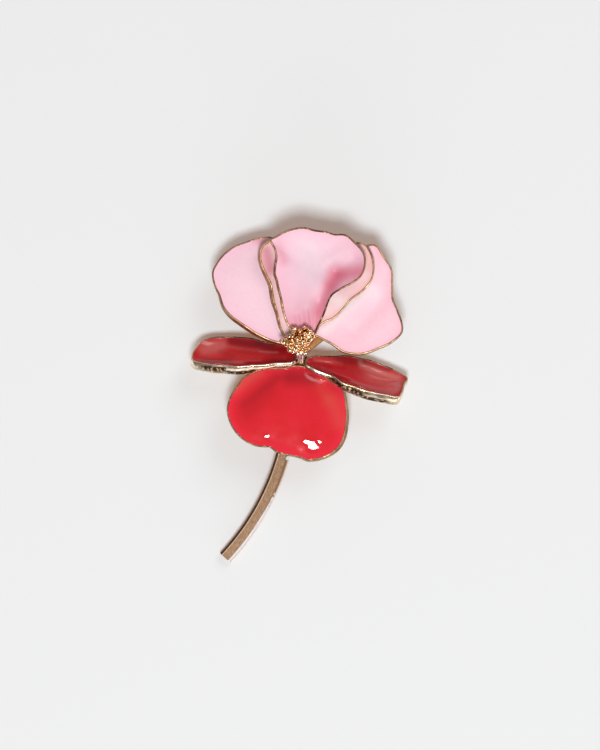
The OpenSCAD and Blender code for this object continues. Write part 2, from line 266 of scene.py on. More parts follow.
def fused(shells: list[Shell], name: str) -> Piece:
    """Fuses overlapping shells into one closed surface.

    Args:
        shells: the shells, each closed.
        name: the name of the new object.

    Returns:
        One object, with sharp edges where its faces meet at over 40 degrees.
    """
    parts = [as_object(shell, f"{name}_part_{k}") for k, shell in enumerate(shells)]
    whole = parts[0]
    for part in parts[1:]:
        cut = whole.modifiers.new("fuse", "BOOLEAN")
        cut.operation = "UNION"
        cut.solver = "EXACT"
        cut.object = part
    finished_mesh(whole)
    for part in parts[1:]:
        bpy.data.objects.remove(part)
    whole.name = name
    whole.data.set_sharp_from_angle(angle=math.radians(40.0))
    return whole


def coordinates(piece: Piece) -> Array:
    """The places of an object's vertices, one after another.

    Args:
        piece: the object.

    Returns:
        Three numbers for each vertex, in the object's own unit.
    """
    flat = np.empty(len(piece.data.vertices) * 3, np.float32)
    piece.data.vertices.foreach_get("co", flat)
    return flat


def vertices(piece: Piece) -> Array:
    """Returns an object's vertices in millimetres."""
    return coordinates(piece).reshape(-1, 3).astype(float) / MM


def remeshed(shell: Shell, name: str, cell: float) -> Piece:
    """Melts overlapping shells into one even skin, as metal runs together in a mould.

    The mesh is worked on a thousand times too large, because the grid has a smallest size.

    Args:
        shell: the overlapping shells.
        name: the name of the new object.
        cell: edge of a grid cube, in millimetres.

    Returns:
        The object with its new mesh.
    """
    piece = as_object(Shell(shell.points / MM, shell.quads, shell.triangles), name)
    grid = piece.modifiers.new("melt", "REMESH")
    grid.mode = "VOXEL"
    grid.voxel_size = cell
    grid.use_smooth_shade = True
    even = piece.modifiers.new("even", "SMOOTH")
    even.factor = 0.5
    even.iterations = 1
    finished_mesh(piece)
    piece.data.vertices.foreach_set("co", coordinates(piece) * MM)
    piece.data.update()
    return piece


# Finishes


def linear(code: Colour) -> Four:
    """A colour as linear light: dark parts are divided by 12.92, others follow a power curve.

    Args:
        code: a screen colour such as #c9a063, or linear light.

    Returns:
        Its red, green and blue parts, and a cover of 1.
    """
    if not isinstance(code, str):
        return (*code, 1.0)
    parts = np.array([int(code[k : k + 2], 16) for k in (1, 3, 5)]) / 255.0
    light = np.where(parts <= 0.04045, parts / 12.92, ((parts + 0.055) / 1.055) ** 2.4)
    return (*light.tolist(), 1.0)


class Wiring:
    """A material while its nodes are being wired, with short calls for the kinds it uses."""

    def __init__(self, name: str) -> None:
        """Starts a material with its shader and the object's own coordinates.

        Args:
            name: the material's name.
        """
        self.material = bpy.data.materials.new(name)
        self.material.use_nodes = True
        self.tree = self.material.node_tree
        self.shader = self.tree.nodes["Principled BSDF"]
        self.place = self.tree.nodes.new("ShaderNodeTexCoord").outputs["Object"]

    def link(self, start: Socket, end: Socket) -> None:
        """Joins an output to an input."""
        self.tree.links.new(start, end)

    def add(
        self, kind: str, out: int | str, inputs: dict[int | str, object], **settings: str
    ) -> Socket:
        """Adds a node.

        Args:
            kind: its type.
            out: the output that is wanted of it.
            inputs: a socket to link, or a value, by the input's name or number.
            settings: the node's own options.

        Returns:
            The output.
        """
        node = self.tree.nodes.new(f"ShaderNode{kind}")
        for option, choice in settings.items():
            setattr(node, option, choice)
        for place, value in inputs.items():
            if isinstance(value, Socket):
                self.link(value, node.inputs[place])
            else:
                node.inputs[place].default_value = value
        return node.outputs[out]

    def stretched(self, scale: Triple) -> Socket:
        """Returns the object's coordinates, scaled by a factor along each axis."""
        return self.add("Mapping", "Vector", {"Vector": self.place, "Scale": scale})

    def noise(self, size: float, detail: float = 3.0, place: Socket | None = None) -> Socket:
        """Noise from about 0.25 to 0.75, of a size in millimetres.

        Args:
            size: width of one patch.
            detail: how many finer layers are added.
            place: coordinates, or the object's own where none are given.

        Returns:
            The noise's value.
        """
        inputs = {"Vector": place or self.place, "Scale": 1.0 / (size * MM), "Detail": detail}
        return self.add("TexNoise", 0, inputs)

    def specks(self, spacing: float, width: float) -> Socket:
        """Round specks, one in each cell of a loose pattern.

        Args:
            spacing: distance between the specks' middles, in millimetres.
            width: width of a speck, in millimetres.

        Returns:
            1 in a speck's middle, falling to 0 at its edge.
        """
        inputs = {"Vector": self.place, "Scale": 1.0 / (spacing * MM)}
        distance = self.add("TexVoronoi", "Distance", inputs)
        return self.span(distance, 0.0, width / spacing / 2.0, 1.0, 0.0)

    def mark(self, name: str) -> Socket:
        """Returns the value that the mesh holds under this name."""
        return self.add("Attribute", "Fac", {}, attribute_name=name)

    def span(
        self, value: Socket, low: float, high: float, to_low: float = 0.0, to_high: float = 1.0
    ) -> Socket:
        """Returns a value carried from one span to another, and held at its ends."""
        ends = {"From Min": low, "From Max": high, "To Min": to_low, "To Max": to_high}
        return self.add("MapRange", "Result", {"Value": value, **ends})

    def band(self, value: Socket, edges: Pair, soft: float, height: float) -> Socket:
        """Returns the height where a value lies between two edges, and 0 past their softness."""
        up = self.span(value, edges[0] - soft, edges[0], 0.0, height)
        return self.reckon("MINIMUM", up, self.span(value, edges[1], edges[1] + soft, height, 0.0))

    def reckon(self, how: str, first: Socket, second: Socket | float) -> Socket:
        """Returns the result of one sum on two values, such as MULTIPLY, ADD or MINIMUM."""
        return self.add("Math", 0, {0: first, 1: second}, operation=how)

    def blend(self, share: Socket, start: Socket | Colour, end: Colour) -> Socket:
        """Returns the first colour where the share is 0, the second where it is 1."""
        first = start if isinstance(start, Socket) else linear(start)
        return self.add("Mix", 2, {0: share, 6: first, 7: linear(end)}, data_type="RGBA")

    def bump(self, height: Socket, depth: float, under: Socket | None = None) -> Socket:
        """Returns normals tilted by a height pattern of a depth, over other normals if given."""
        inputs = {"Strength": 1.0, "Distance": depth * MM, "Height": height}
        return self.add("Bump", "Normal", inputs if under is None else inputs | {"Normal": under})

    def finish(
        self, colour: Socket, roughness: Socket, normal: Socket, **settings: float
    ) -> Material:
        """Joins colour, roughness and normals to the shader and sets its plain numbers.

        Args:
            colour: the base colour.
            roughness: the roughness.
            normal: the normals.
            settings: values of other inputs, the spaces in their names written as underscores.

        Returns:
            The material.
        """
        ways = {"Base Color": colour, "Roughness": roughness, "Normal": normal}
        for name, socket in ways.items():
            self.link(socket, self.shader.inputs[name])
        for name, number in settings.items():
            self.shader.inputs[name.replace("_", " ")].default_value = number
        return self.material


MILD = (0.3, 0.7)  # The span of a noise that gives soft changes


@dataclass(frozen=True)
class GoldFinish:
    """Gold plate on a casting: two tones, a dark colour for hollows and painted shade, fine grain.
    """

    name: str
    light: str
    deep: str
    patina: str
    smooth: float
    rough: float
    grain: float
    grain_depth: float
    patchy: Pair = (0.3, 0.6)

    def material(self) -> Material:
        """Makes the material.

        The tone drifts with a noise of 2.5 mm. A mark for the casting's dark hollows and for
        painted shade, broken up by a finer noise, blends in the dark colour and its roughness.

        Returns:
            The material.
        """
        w = Wiring(self.name)
        tone = w.blend(w.span(w.noise(2.5), 0.35, 0.65), self.light, self.deep)
        broken = w.span(w.noise(0.5, 5.0), *self.patchy, 0.1)
        # The dark colour: hollows of the casting, and painted shade.
        dark = w.reckon("MULTIPLY", w.mark("darkening_mark"), broken)
        patches = w.span(w.noise(0.9, 4.0), *MILD, self.smooth, self.rough)
        roughness = w.reckon("ADD", patches, w.reckon("MULTIPLY", dark, 0.25))
        pitted = w.span(w.mark("darkening_mark"), 0.0, 1.0, 0.25)
        grain = w.bump(w.reckon("MULTIPLY", w.noise(self.grain, 4.0), pitted), self.grain_depth)
        return w.finish(w.blend(dark, tone, self.patina), roughness, grain, Metallic=1.0)


@dataclass(frozen=True)
class PatinaFinish:
    """Dull brown gold with a grain drawn along one direction of the plan.

    The mark called across is the distance from the bar's middle line, in millimetres, and
    another tells how much painted glint its bevel takes. Near the other edge a line of painted
    shade and a line of painted highlight run along the bar, and its outer edge has a cream
    painted highlight all along.
    """

    name: str
    light: str
    deep: str
    fleck: str
    bright: str
    cream: str
    stretch: Triple
    painted_shade_stripe: Pair = (-1.14, -0.84)
    painted_highlight_stripe: Pair = (-0.78, -0.7)
    bevel: Pair = (0.93, 1.0)
    painted_highlight_edge: Pair = (1.12, 2.0)
    soft: float = 0.05

    def material(self) -> Material:
        """Makes the material: streaks from a noise squeezed across the grain, and dark flecks.

        Returns:
            The material.
        """
        w = Wiring(self.name)
        streaks = w.noise(0.7, 5.0, w.stretched(self.stretch))
        flecks, across, glint_mark = w.noise(0.12), w.mark("across"), w.mark("painted_glint")
        colour = w.blend(w.span(streaks, *MILD), self.light, self.deep)
        colour = w.blend(w.span(flecks, 0.5, 0.64, 0.0, 0.6), colour, self.fleck)
        # Painted shade and painted highlight along the chamfered edge, painted glint on the bevel,
        # and a cream painted highlight on the bevel's outer edge.
        colour = w.blend(w.band(across, self.painted_shade_stripe, self.soft, 0.95), colour, self.fleck)
        colour = w.blend(w.band(across, self.painted_highlight_stripe, self.soft, 0.45), colour, self.cream)
        reach = w.reckon("ADD", across, w.reckon("MULTIPLY", glint_mark, 0.35))
        glint_share = w.span(w.reckon("ADD", glint_mark, w.noise(0.6, 4.0)), 0.75, 0.95)
        painted_glint = w.reckon("MULTIPLY", w.span(reach, *self.bevel), glint_share)
        colour = w.blend(painted_glint, colour, self.bright)
        colour = w.blend(w.band(across, self.painted_highlight_edge, 0.08, 0.8), colour, self.cream)
        dull = w.span(streaks, *MILD, 0.56, 0.68)
        roughness = w.reckon("SUBTRACT", dull, w.reckon("MULTIPLY", painted_glint, 0.3))
        w.link(w.span(painted_glint, 0.0, 1.0, 0.5), w.shader.inputs["Metallic"])
        return w.finish(colour, roughness, w.bump(flecks, 0.012, w.bump(streaks, 0.01)))


@dataclass(frozen=True)
class EnamelFinish:
    """Enamel with painted shade, painted highlights, and a painted band along the metal."""

    name: str
    open: str
    # Colour of the band along the metal: painted light and shade.
    edge: str
    # Colour of the painted shade; it also comes in faintly at random.
    deep: str
    # Colour of the painted highlights.
    pale: str
    smooth: float
    rough: float
    coat: float
    wave: float
    shine: float = 0.5

    def material(self) -> Material:
        """Makes the material.

        The mark called open is 1 away from the rim and 0 at it, and blends from the edge colour
        to the open one: the band of edge colour is painted light and shade along the metal. Two
        more marks blend in the deep colour as painted shade and the pale colour as painted
        highlights, and the deep colour also comes in faintly at random. Single pits are left where
        a bubble burst.

        Returns:
            The material.
        """
        w = Wiring(self.name)
        drift = w.span(w.noise(5.0, 2.0), 0.35, 0.65, 0.75, 1.0)
        # Painted light and shade: the band along the metal, then painted highlights and painted
        # shade.
        colour = w.blend(w.reckon("MULTIPLY", w.mark("open"), drift), self.edge, self.open)
        colour = w.blend(w.mark("sheen"), colour, self.pale)
        colour = w.blend(w.mark("stain"), colour, self.deep)
        colour = w.blend(w.span(w.noise(0.6), 0.5, 0.75, 0.0, 0.08), colour, self.deep)
        roughness = w.span(w.noise(1.8), *MILD, self.smooth, self.rough)
        waves = w.bump(w.noise(3.2, 2.0), self.wave)
        pits = w.bump(w.specks(3.6, 0.18), 0.03, waves)
        w.link(pits, w.shader.inputs["Coat Normal"])
        numbers = {"Coat_Weight": self.coat, "Coat_Roughness": 0.05}
        return w.finish(colour, roughness, pits, Specular_IOR_Level=self.shine, **numbers)


@dataclass(frozen=True)
class FloorFinish:
    """Plain matt pale acrylic that emits a faint warm light: painted light warming its shadows."""

    name: str
    tone: Triple
    painted_light_colour: Triple

    def material(self) -> Material:
        """Makes the material: one tone with a faint tooth, and a faint warm painted light of its
        own.

        Returns:
            The material.
        """
        w = Wiring(self.name)
        tooth = w.noise(0.8)
        colour = w.blend(w.span(tooth, *MILD, 0.0, 0.01), self.tone, (0.5, 0.55, 0.55))
        roughness = w.span(tooth, *MILD, 0.85, 0.95)
        # Painted light: the floor emits a faint warm light of its own.
        w.shader.inputs["Emission Color"].default_value = linear(self.painted_light_colour)
        numbers = {"Emission_Strength": 1.0, "Specular_IOR_Level": 0.0}
        return w.finish(colour, roughness, w.bump(tooth, 0.002), **numbers)


class Gold(Enum):
    """The finishes of the metal."""

    TRAY = GoldFinish(
        "gold_tray", "#cda982", "#987350", "#4f3624", 0.24, 0.56, 0.25, 0.006, (0.25, 0.5)
    )
    WING = GoldFinish(
        "gold_wing", "#ffeedb", "#ecc9a4", "#3e2818", 0.14, 0.28, 0.3, 0.03, (0.3, 0.5)
    )
    CLUSTER = GoldFinish("gold_cluster", "#fbdcb8", "#f0b67c", "#5a3116", 0.06, 0.2, 0.3, 0.02)
    FOOT = GoldFinish("gold_foot", "#eaf6ee", "#dde4cf", "#2e1c14", 0.1, 0.2, 0.3, 0.02)
    PLATE = GoldFinish("gold_plate", "#966a42", "#7c5433", "#5c4128", 0.36, 0.48, 0.3, 0.01)
    STEM = PatinaFinish(
        "gold_stem", "#a88465", "#86684c", "#46301f", "#e9e5e6", "#f0d3bb", (6.0, 1.0, 6.0)
    )


class Enamel(Enum):
    """The finishes of the enamel."""

    PINK = EnamelFinish(
        "enamel_pink", "#f1cdd9", "#f5bfd0", "#c8607a", "#f2e6e6", 0.42, 0.5, 0.0, 0.02, 0.35
    )
    # A warmer, brighter copy of the pink for the right petal: painted light.
    PINK_PAINTED_LIGHT = EnamelFinish(
        "enamel_pink_painted_light", "#f6c6d2", "#f6bccb", "#c8607a", "#eae0e1", 0.42, 0.5, 0.0, 0.02, 0.35
    )
    # The pink with edges tinted like the gold: a painted reflection of the rim.
    PINK_PAINTED_REFLECTION = EnamelFinish(
        "enamel_pink_painted_reflection", "#f2ccd4", "#f3b9b0", "#c8607a", "#f6ece8", 0.42, 0.5, 0.0, 0.02, 0.35
    )
    # A darker copy of the pink for the top petal: painted shade.
    PINK_PAINTED_SHADE = EnamelFinish(
        "enamel_pink_painted_shade", "#e7bccb", "#f4bccd", "#d5647b", "#d8d2d8", 0.42, 0.5, 0.0, 0.02, 0.35
    )
    RED = EnamelFinish(
        "enamel_red", "#d62129", "#ee2c44", "#98141b", "#dc6a58", 0.06, 0.1, 0.3, 0.015
    )
    DARK_RED = EnamelFinish(
        "enamel_dark_red", "#c9202a", "#b81a22", "#5e0b12", "#cf7c76", 0.1, 0.16, 0.3, 0.04
    )


@cache
def material(finish: Gold | Enamel) -> Material:
    """Returns a finish's material, which is made the first time that it is asked for."""
    return finish.value.material()


def dress(piece: Piece, *finishes: Gold | Enamel) -> None:
    """Gives an object its finishes.

    Args:
        piece: the object.
        finishes: its finishes. All its faces have the first, until another is chosen.
    """
    piece.data.materials.clear()
    for finish in finishes:
        piece.data.materials.append(material(finish))


def second_finish(piece: Piece, above: float = -math.inf, below: float = math.inf) -> None:
    """Gives an object's second finish to the faces whose middles lie between two values of Y.

    Args:
        piece: the object.
        above: the lower value, in millimetres.
        below: the upper value, in millimetres.
    """
    middle = np.array([face.center[1] for face in piece.data.polygons]) / MM
    chosen = (middle > above) & (middle < below)
    piece.data.polygons.foreach_set("material_index", chosen.astype(np.int32))


def settle(piece: Piece, slot: str, *nodes: str) -> None:
    """Lets a piece ride on the brooch in the place of model nodes.

    Args:
        piece: the finished object.
        slot: the material slot that it belongs to; not used.
        nodes: the nodes that it stands for.
    """
    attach(piece, "root")
    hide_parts(*nodes)
    triangles = sum(len(face.vertices) - 2 for face in piece.data.polygons)
    LOG.info("%s: %d triangles, for %s", piece.name, triangles, ", ".join(nodes))


# Petals

# Where loops lie: shares of the way out over a cell's floor, its enamel and its tray's back,
# drops down the inner wall, places across the rim from -1 inside to 1 outside, and shares down
# the outer wall.
FLOOR_SHARES = 1.0 - (1.0 - np.linspace(0.05, 1.0, 18)) ** 1.3
FILL_SHARES = 1.0 - (1.0 - np.linspace(0.02, 1.0, 38)) ** 1.7
BACK_SHARES = (0.93, 0.85, 0.72, 0.55, 0.38, 0.2)
INNER_DROPS = (0.3, 0.2)
RIM_LINES = (-0.97, -0.88, -0.72, -0.4, 0.0, 0.4, 0.72, 0.88, 0.97, 1.0)
DARKNESS_SHARES = np.array([0.0, 0.15, 0.3, 0.55, 1.0])
# How many waves a rim is taken apart into, and how many degrees to each side even its reach.
WAVES, SPREAD = 40, 40
# How dark clean metal and a cell's floor are, and where the rim's painted shade fades out.
CLEAN, DARK, SHADE_EDGES = 0.1, 0.8, (-0.5, 0.1)
# Sizes of the uneven patches of the wall, the rim and the enamel, in millimetres.
WALL_PATCH, RIM_PATCH, POUR_PATCH = 0.9, 1.6, 3.4
# Values down an outer wall behind the middle of the flower: painted shade where the petals
# above cover it.
PAINTED_SHADE_BEHIND = (0.9, 0.5, 0.5, 0.5, 0.5, 0.5)


@dataclass(frozen=True)
class Seat:
    """The place of a petal's own plane."""

    origin: Array
    along: Array
    across: Array
    up: Array

    def place(self, points: Array) -> Array:
        """Returns points of the petal's plane in the frame of the brooch."""
        return self.origin + points @ np.array([self.along, self.across, self.up])


LEVEL = Seat(np.zeros(3), *np.eye(3))


def wing_seat(root: Triple, turn: float, lean: float = 42.0, droop: float = 6.0) -> Seat:
    """Seat of a side petal: turned about the upright, lowered to its tip, then leaned over.

    Args:
        root: place of its root.
        turn: direction of its tip in the plan, in degrees.
        lean: slope across the petal, in degrees.
        droop: slope down to its tip, in degrees.

    Returns:
        The seat, its up direction facing the top of the flower.
    """
    lean_cos, lean_sin = turned(lean)
    drop_cos, drop_sin = turned(droop)
    turn_cos, turn_sin = turned(turn)
    along = np.array([turn_cos * drop_cos, turn_sin * drop_cos, -drop_sin])
    slope = np.array([0.0, lean_cos, -lean_sin])
    across = unit(slope - along * (slope @ along))
    up = np.cross(along, across)
    return Seat(np.array(root), along, across, up if up[2] > 0.0 else -up)


@dataclass(frozen=True)
class Fold:
    """A soft line in a petal's plane: a valley with a depth, or painted light with a strength."""

    start: Pair
    end: Pair
    half_width: float
    depth: float

    def depth_at(self, points: Array) -> Array:
        """Its depth at points: depth times e to -(distance / half width)^2.

        Args:
            points: places in the petal's plane.

        Returns:
            One depth for each.
        """
        start, run = np.array(self.start), np.subtract(self.end, self.start)
        share = np.clip((points - start) @ run / (run @ run), 0.0, 1.0)
        distance = np.linalg.norm(points - start - share[..., None] * run, axis=-1)
        return self.depth * np.exp(-((distance / self.half_width) ** 2))


@dataclass(frozen=True)
class Flat:
    """A spot where the enamel has set flat: its middle, its radius and its slope in x and y."""

    middle: Pair
    radius: float
    slope: Pair

    def level(self, points: Array, heights: Array, base: float) -> Array:
        """Blends heights to the spot's plane, by e to -(distance / radius)^4.

        Args:
            points: places in the petal's plane.
            heights: heights of the enamel there.
            base: height of the plane at the spot's middle.

        Returns:
            The new heights.
        """
        away = points - np.array(self.middle)
        share = np.exp(-((np.linalg.norm(away, axis=-1) / self.radius) ** 4))
        return heights + share * (base + away @ np.array(self.slope) - heights)


@dataclass
class Petal:
    """One petal: a gold tray with a raised rim, and the enamel in it.

    The rim table has a row for each turn of the rim: direction, reach from the middle, height.
    Each row of the dark tone table has a direction and how dark the metal is there, on the rim
    and at each of the table's shares down the outer wall. It stands for the casting's dark
    hollows and for painted shade and painted reflections.
    """

    name: str
    node: str
    slot: str
    enamel: Enamel
    middle: Triple
    dish: float
    root_dir: float
    rim: list[Triple]
    patina: tuple[tuple[float, ...], ...]
    folds: list[Fold] = field(default_factory=list)
    pleats: list[Fold] = field(default_factory=list)
    # Lines of painted shade, then lines of painted highlight.
    stains: list[Fold] = field(default_factory=list)
    sheens: list[Fold] = field(default_factory=list)
    flats: list[Flat] = field(default_factory=list)
    flare: float = 0.0
    flare_dir: float = 0.0
    seat: Seat = LEVEL
    metal: Gold = Gold.TRAY
    wall: float = 1.0
    root_wall: float = 0.85
    middle_wall: float = 1.0
    rim_w: float = 0.3
    rim_shade: float = 0.9
    crown: float = 0.05
    crown_power: float = 4.0
    cell_depth: float = 0.45
    enamel_sink: float = 0.12
    meniscus: float = 0.45
    # Width of the band of edge colour along the rim, painted light and shade, in millimetres.
    clear: float = 1.4
    cast: float = 0.015
    swell: float = 0.03
    gap: float = 0.02
    lip: float = 0.03
    waviness: float = 0.012
    evened: float = 14.0
    wall_loops: int = 8
    steps: int = 12
    seed: int = 1

    def __post_init__(self) -> None:
        """Works out once the fine rim, its reach at each degree and the waves of its height."""
        self.centre = np.array(self.middle[:2])
        self.wall_shares = np.linspace(0.0, 1.0, self.wall_loops + 1)[1:]
        self.directions, self.reaches, self.heights = self.rim_curve()
        self.around = np.linspace(0.0, 360.0, 361)
        self.reach_round = np.interp(self.around, self.directions, self.reaches, period=360.0)
        even = np.interp(self.around[:-1], self.directions, self.heights, period=360.0)
        self.waves = np.fft.rfft(even)[:WAVES] / len(even)
        spread = np.exp(-((np.arange(-SPREAD, SPREAD + 1) / self.evened) ** 2))
        wrapped = np.pad(self.reach_round[:-1], SPREAD, mode="wrap")
        even_reach = np.convolve(wrapped, spread / spread.sum(), mode="valid")
        self.reach_soft = np.append(even_reach, even_reach[0])

    def rim_curve(self) -> tuple[Array, Array, Array]:
        """The fine rim.

        A smooth curve of the third degree runs through the rows and takes its slope at each
        from the rows on either side.

        Returns:
            Its directions, reaches and heights.
        """
        rows = np.array(self.rim)
        turns = np.vstack([rows - [360.0, 0.0, 0.0], rows, rows + [360.0, 0.0, 0.0]])
        base = np.repeat(np.arange(len(rows)), self.steps) + len(rows)
        u = np.tile(np.arange(self.steps) / self.steps, len(rows))[:, None]
        a, b, c, d = (turns[base + k] for k in (-1, 0, 1, 2))
        bend = (2 * a - 5 * b + 4 * c - d) * u**2 + (3 * b - a - 3 * c + d) * u**3
        curve = (2 * b + (c - a) * u + bend) / 2.0
        return curve[:, 0], curve[:, 1], curve[:, 2]

    def edge(self, inset: Array | float) -> Array:
        """The rim set in by a distance, square to the rim.

        Args:
            inset: one distance, or one for each point.

        Returns:
            Places in the petal's plane.
        """
        cosine, sine = turned(self.directions)
        place = np.stack([cosine, sine], axis=-1) * self.reaches[:, None]
        run = unit(np.roll(place, -1, axis=0) - np.roll(place, 1, axis=0))
        square = np.stack([-run[:, 1], run[:, 0]], axis=-1)
        return place + self.centre + np.reshape(inset, (-1, 1)) * square

    def fold_depth(self, points: Array, fine: bool = False) -> Array:
        """Returns the depth of all the folds at places, with the fine pleats if asked for."""
        rows = self.folds + (self.pleats if fine else [])
        return sum((row.depth_at(points) for row in rows), np.zeros(points.shape[:-1]))

    def face(self, points: Array, fine: bool = False) -> Array:
        """Height of the petal's face at places of its plane.

        The rim's height is taken apart into waves round the middle. Each fades towards the
        middle as the share of the way out, to the power of its number or of the dish, whichever
        is more, so that the floor has no pinch in its middle. The share is that of the rim's
        reach near the rim, and of its evened reach further in, so that the rim's notches leave
        no crease. The folds are cut into that.

        Args:
            points: the places.
            fine: whether the fine pleats are cut in too.

        Returns:
            The heights.
        """
        way = points - self.centre
        angle = np.degrees(np.arctan2(way[..., 1], way[..., 0])) % 360.0
        length = np.linalg.norm(way, axis=-1)
        reach = np.interp(angle, self.around, self.reach_round)
        soft = np.interp(angle, self.around, self.reach_soft)
        near = np.clip(length / reach, 0.0, 1.0)
        share = np.clip(length / (soft + (reach - soft) * near**2), 1e-6, 1.1)
        number = np.arange(len(self.waves))
        power = np.maximum(number, self.dish)
        turn = np.exp(1j * np.radians(angle)[..., None] * number)
        parts = self.waves * np.where(number, 2.0, 1.0)
        parts[0] -= self.middle[2]
        rise = np.real(parts * turn * share[..., None] ** power).sum(axis=-1)
        return self.middle[2] + rise - self.fold_depth(points, fine)

    def wall_heights(self) -> Array:
        """Returns the outer wall's height below each point of the rim."""
        low = nearness(self.directions, self.root_dir, 4.0)
        return self.wall + (self.root_wall - self.wall) * low

    def ring(self, inset: Array | float, share: float, drop: Array | float) -> Array:
        """One loop of points over the face.

        Args:
            inset: how far it is set in from the rim.
            share: how far out it then lies between the middle and that place.
            drop: how far it lies below the face.

        Returns:
            The loop's points in the petal's own frame.
        """
        plan = self.centre + share * (self.edge(inset) - self.centre)
        return np.column_stack([plan, self.face(plan) - drop])

    def foot(self, share: float, lift: float = 0.0) -> Array:
        """One loop of the back.

        Args:
            share: how far out it lies between the middle and the foot of the wall.
            lift: how far it lies above the back.

        Returns:
            The loop's points in the petal's own frame.
        """
        out = self.flare * nearness(self.directions, self.flare_dir, 2.0)
        plan = self.centre + share * (self.edge(-out) - self.centre)
        thick = self.middle_wall + (self.wall_heights() - self.middle_wall) * share**2
        inner = self.centre + share * (self.edge(0.0) - self.centre)
        return np.column_stack([plan, self.face(inner) - thick + lift])

    def wall_rings(self) -> list[Array]:
        """The outer wall's loops, from the rim's edge to its foot, cast a little uneven.

        Each point moves out by noise that grows from the rim's edge and with how dark the metal is
        there, and by a slight bulge that is a half wave of the sine from top to foot.

        Returns:
            The loops in the petal's own frame.
        """
        top, bottom = self.level_ring(0.0, self.crown), self.foot(1.0)
        outward = self.edge(-1.0) - self.edge(0.0)
        rings = []
        for share, dark in zip(self.wall_shares, self.darkening_values((1.0,))[1:]):
            ring = top + (bottom - top) * share
            wave = rough_noise(ring, WALL_PATCH, self.seed) * min(1.0, share * 3.0)
            swell = self.swell * math.sin(math.pi * share)
            ring[:, :2] += outward * (self.cast * wave * (0.2 + 0.8 * dark) + swell)[:, None]
            rings.append(ring)
        return rings

    def tray(self) -> Shell:
        """The tray's closed surface: floor, inner wall, rim, outer wall and back.

        The rim's top is level and rounds off to both sides: at t from -1 to 1 across it, it lies
        lower by the crown times |t| to a high power.

        Returns:
            The surface, marked with how dark its metal is, for dark hollows and painted shade.
        """
        width = self.rim_widths()
        floor = [self.ring(width, s, self.cell_depth) for s in FLOOR_SHARES]
        inner = [self.level_ring(width, drop) for drop in (*INNER_DROPS, self.crown)]
        crown = [
            self.level_ring(width * (1.0 - t) / 2.0, self.crown * abs(t) ** self.crown_power)
            for t in RIM_LINES
        ]
        foot = [self.foot(0.99, 0.02), self.foot(0.975)]
        back = [self.foot(s) for s in BACK_SHARES]
        loops = np.array(floor + inner + crown + self.wall_rings() + foot + back)
        # How dark the metal is, loop by loop: the casting's dark hollows and painted shade.
        darkening_mark = np.full(loops.shape[:2], CLEAN)
        darkening_mark[: len(floor) + 1] = DARK
        first = len(floor) + len(inner)
        darkening_mark[first : first + len(crown) + self.wall_loops] = self.darkening_values(RIM_LINES)
        middle = np.array([*self.centre, float(self.face(self.centre))])
        under = middle - [0.0, 0.0, self.middle_wall]
        base = middle - [0.0, 0.0, self.cell_depth]
        return self.seated(skin(loops, base, under, {"darkening_mark": darkening_mark}))

    def level_ring(self, inset: Array | float, drop: float) -> Array:
        """Returns a loop over the rim, level with the face under the rim's middle line."""
        line = self.face(self.edge(self.rim_widths() / 2.0))
        return np.column_stack([self.edge(inset), line - drop])

    def darkening_values(self, across: tuple[float, ...]) -> Array:
        """How dark the metal is over the rim and down the outer wall: dark hollows and painted
        shade.

        Between the table's values it is in proportion, both round and down. The rim's inner half,
        where the enamel begins, is darkened all round as painted shade.

        Args:
            across: where each loop lies across the rim, from -1 inside to 1 outside.

        Returns:
            The values by loop and point, for those loops and then for the wall's.
        """
        rows = np.array(self.patina)
        around = np.array([
            np.interp(self.directions, rows[:, 0], column, period=360.0)
            for column in rows[:, 1:].T
        ])
        after = np.searchsorted(DARKNESS_SHARES, self.wall_shares)
        low, high = DARKNESS_SHARES[after - 1], DARKNESS_SHARES[after]
        part = ((self.wall_shares - low) / (high - low))[:, None]
        below = around[after] * (1.0 - part) + around[after + 1] * part
        inside = np.interp(across, SHADE_EDGES, (self.rim_shade, 0.0))[:, None]
        return np.vstack([np.maximum(around[:1], inside), below])

    def rim_widths(self) -> Array:
        """Returns the rim's width at each point, a little uneven as cast."""
        uneven = lattice_noise(self.ring(0.0, 1.0, 0.0), RIM_PATCH, self.seed)
        return self.rim_w * (1.0 + 0.1 * uneven)

    def fill(self) -> Shell:
        """The enamel's closed surface.

        Its top lies below the rim's edge and climbs to it along the wall: the sink falls off
        with e to -(distance from the rim / meniscus). A slight hand-poured waviness is left in
        the open part, and the flat spots are levelled into it.

        Returns:
            The surface, with the marks that its finish reads.
        """
        border = self.edge(self.rim_widths() - self.gap) - self.centre
        length = np.linalg.norm(border, axis=-1)
        loops, opened = [], []
        for share in FILL_SHARES:
            plan = self.centre + share * border
            away = (1.0 - share) * length
            climb = np.exp(-away / self.meniscus)
            sink = self.enamel_sink * (1.0 - climb) + self.lip * climb
            space = np.column_stack([plan, np.zeros(len(plan))])
            wavy = lattice_noise(space, POUR_PATCH, self.seed + 7) * (1.0 - climb)
            height = self.face(plan, True) - sink + self.waviness * wavy
            for flat in self.flats:
                base = float(self.face(np.array(flat.middle))) - self.enamel_sink
                height = flat.level(plan, height, base)
            loops.append(np.column_stack([plan, height]))
            # 0 at the rim, where the edge colour paints light and shade along the metal.
            opened.append(1.0 - np.exp(-away / self.clear))
        depth = self.cell_depth - self.gap
        for share, drop in [(1.0, 0.2), *((share, depth) for share in FLOOR_SHARES[::-1])]:
            plan = self.centre + share * border
            loops.append(np.column_stack([plan, self.face(plan) - drop]))
            opened.append(np.zeros_like(length))
        places = np.array(loops)
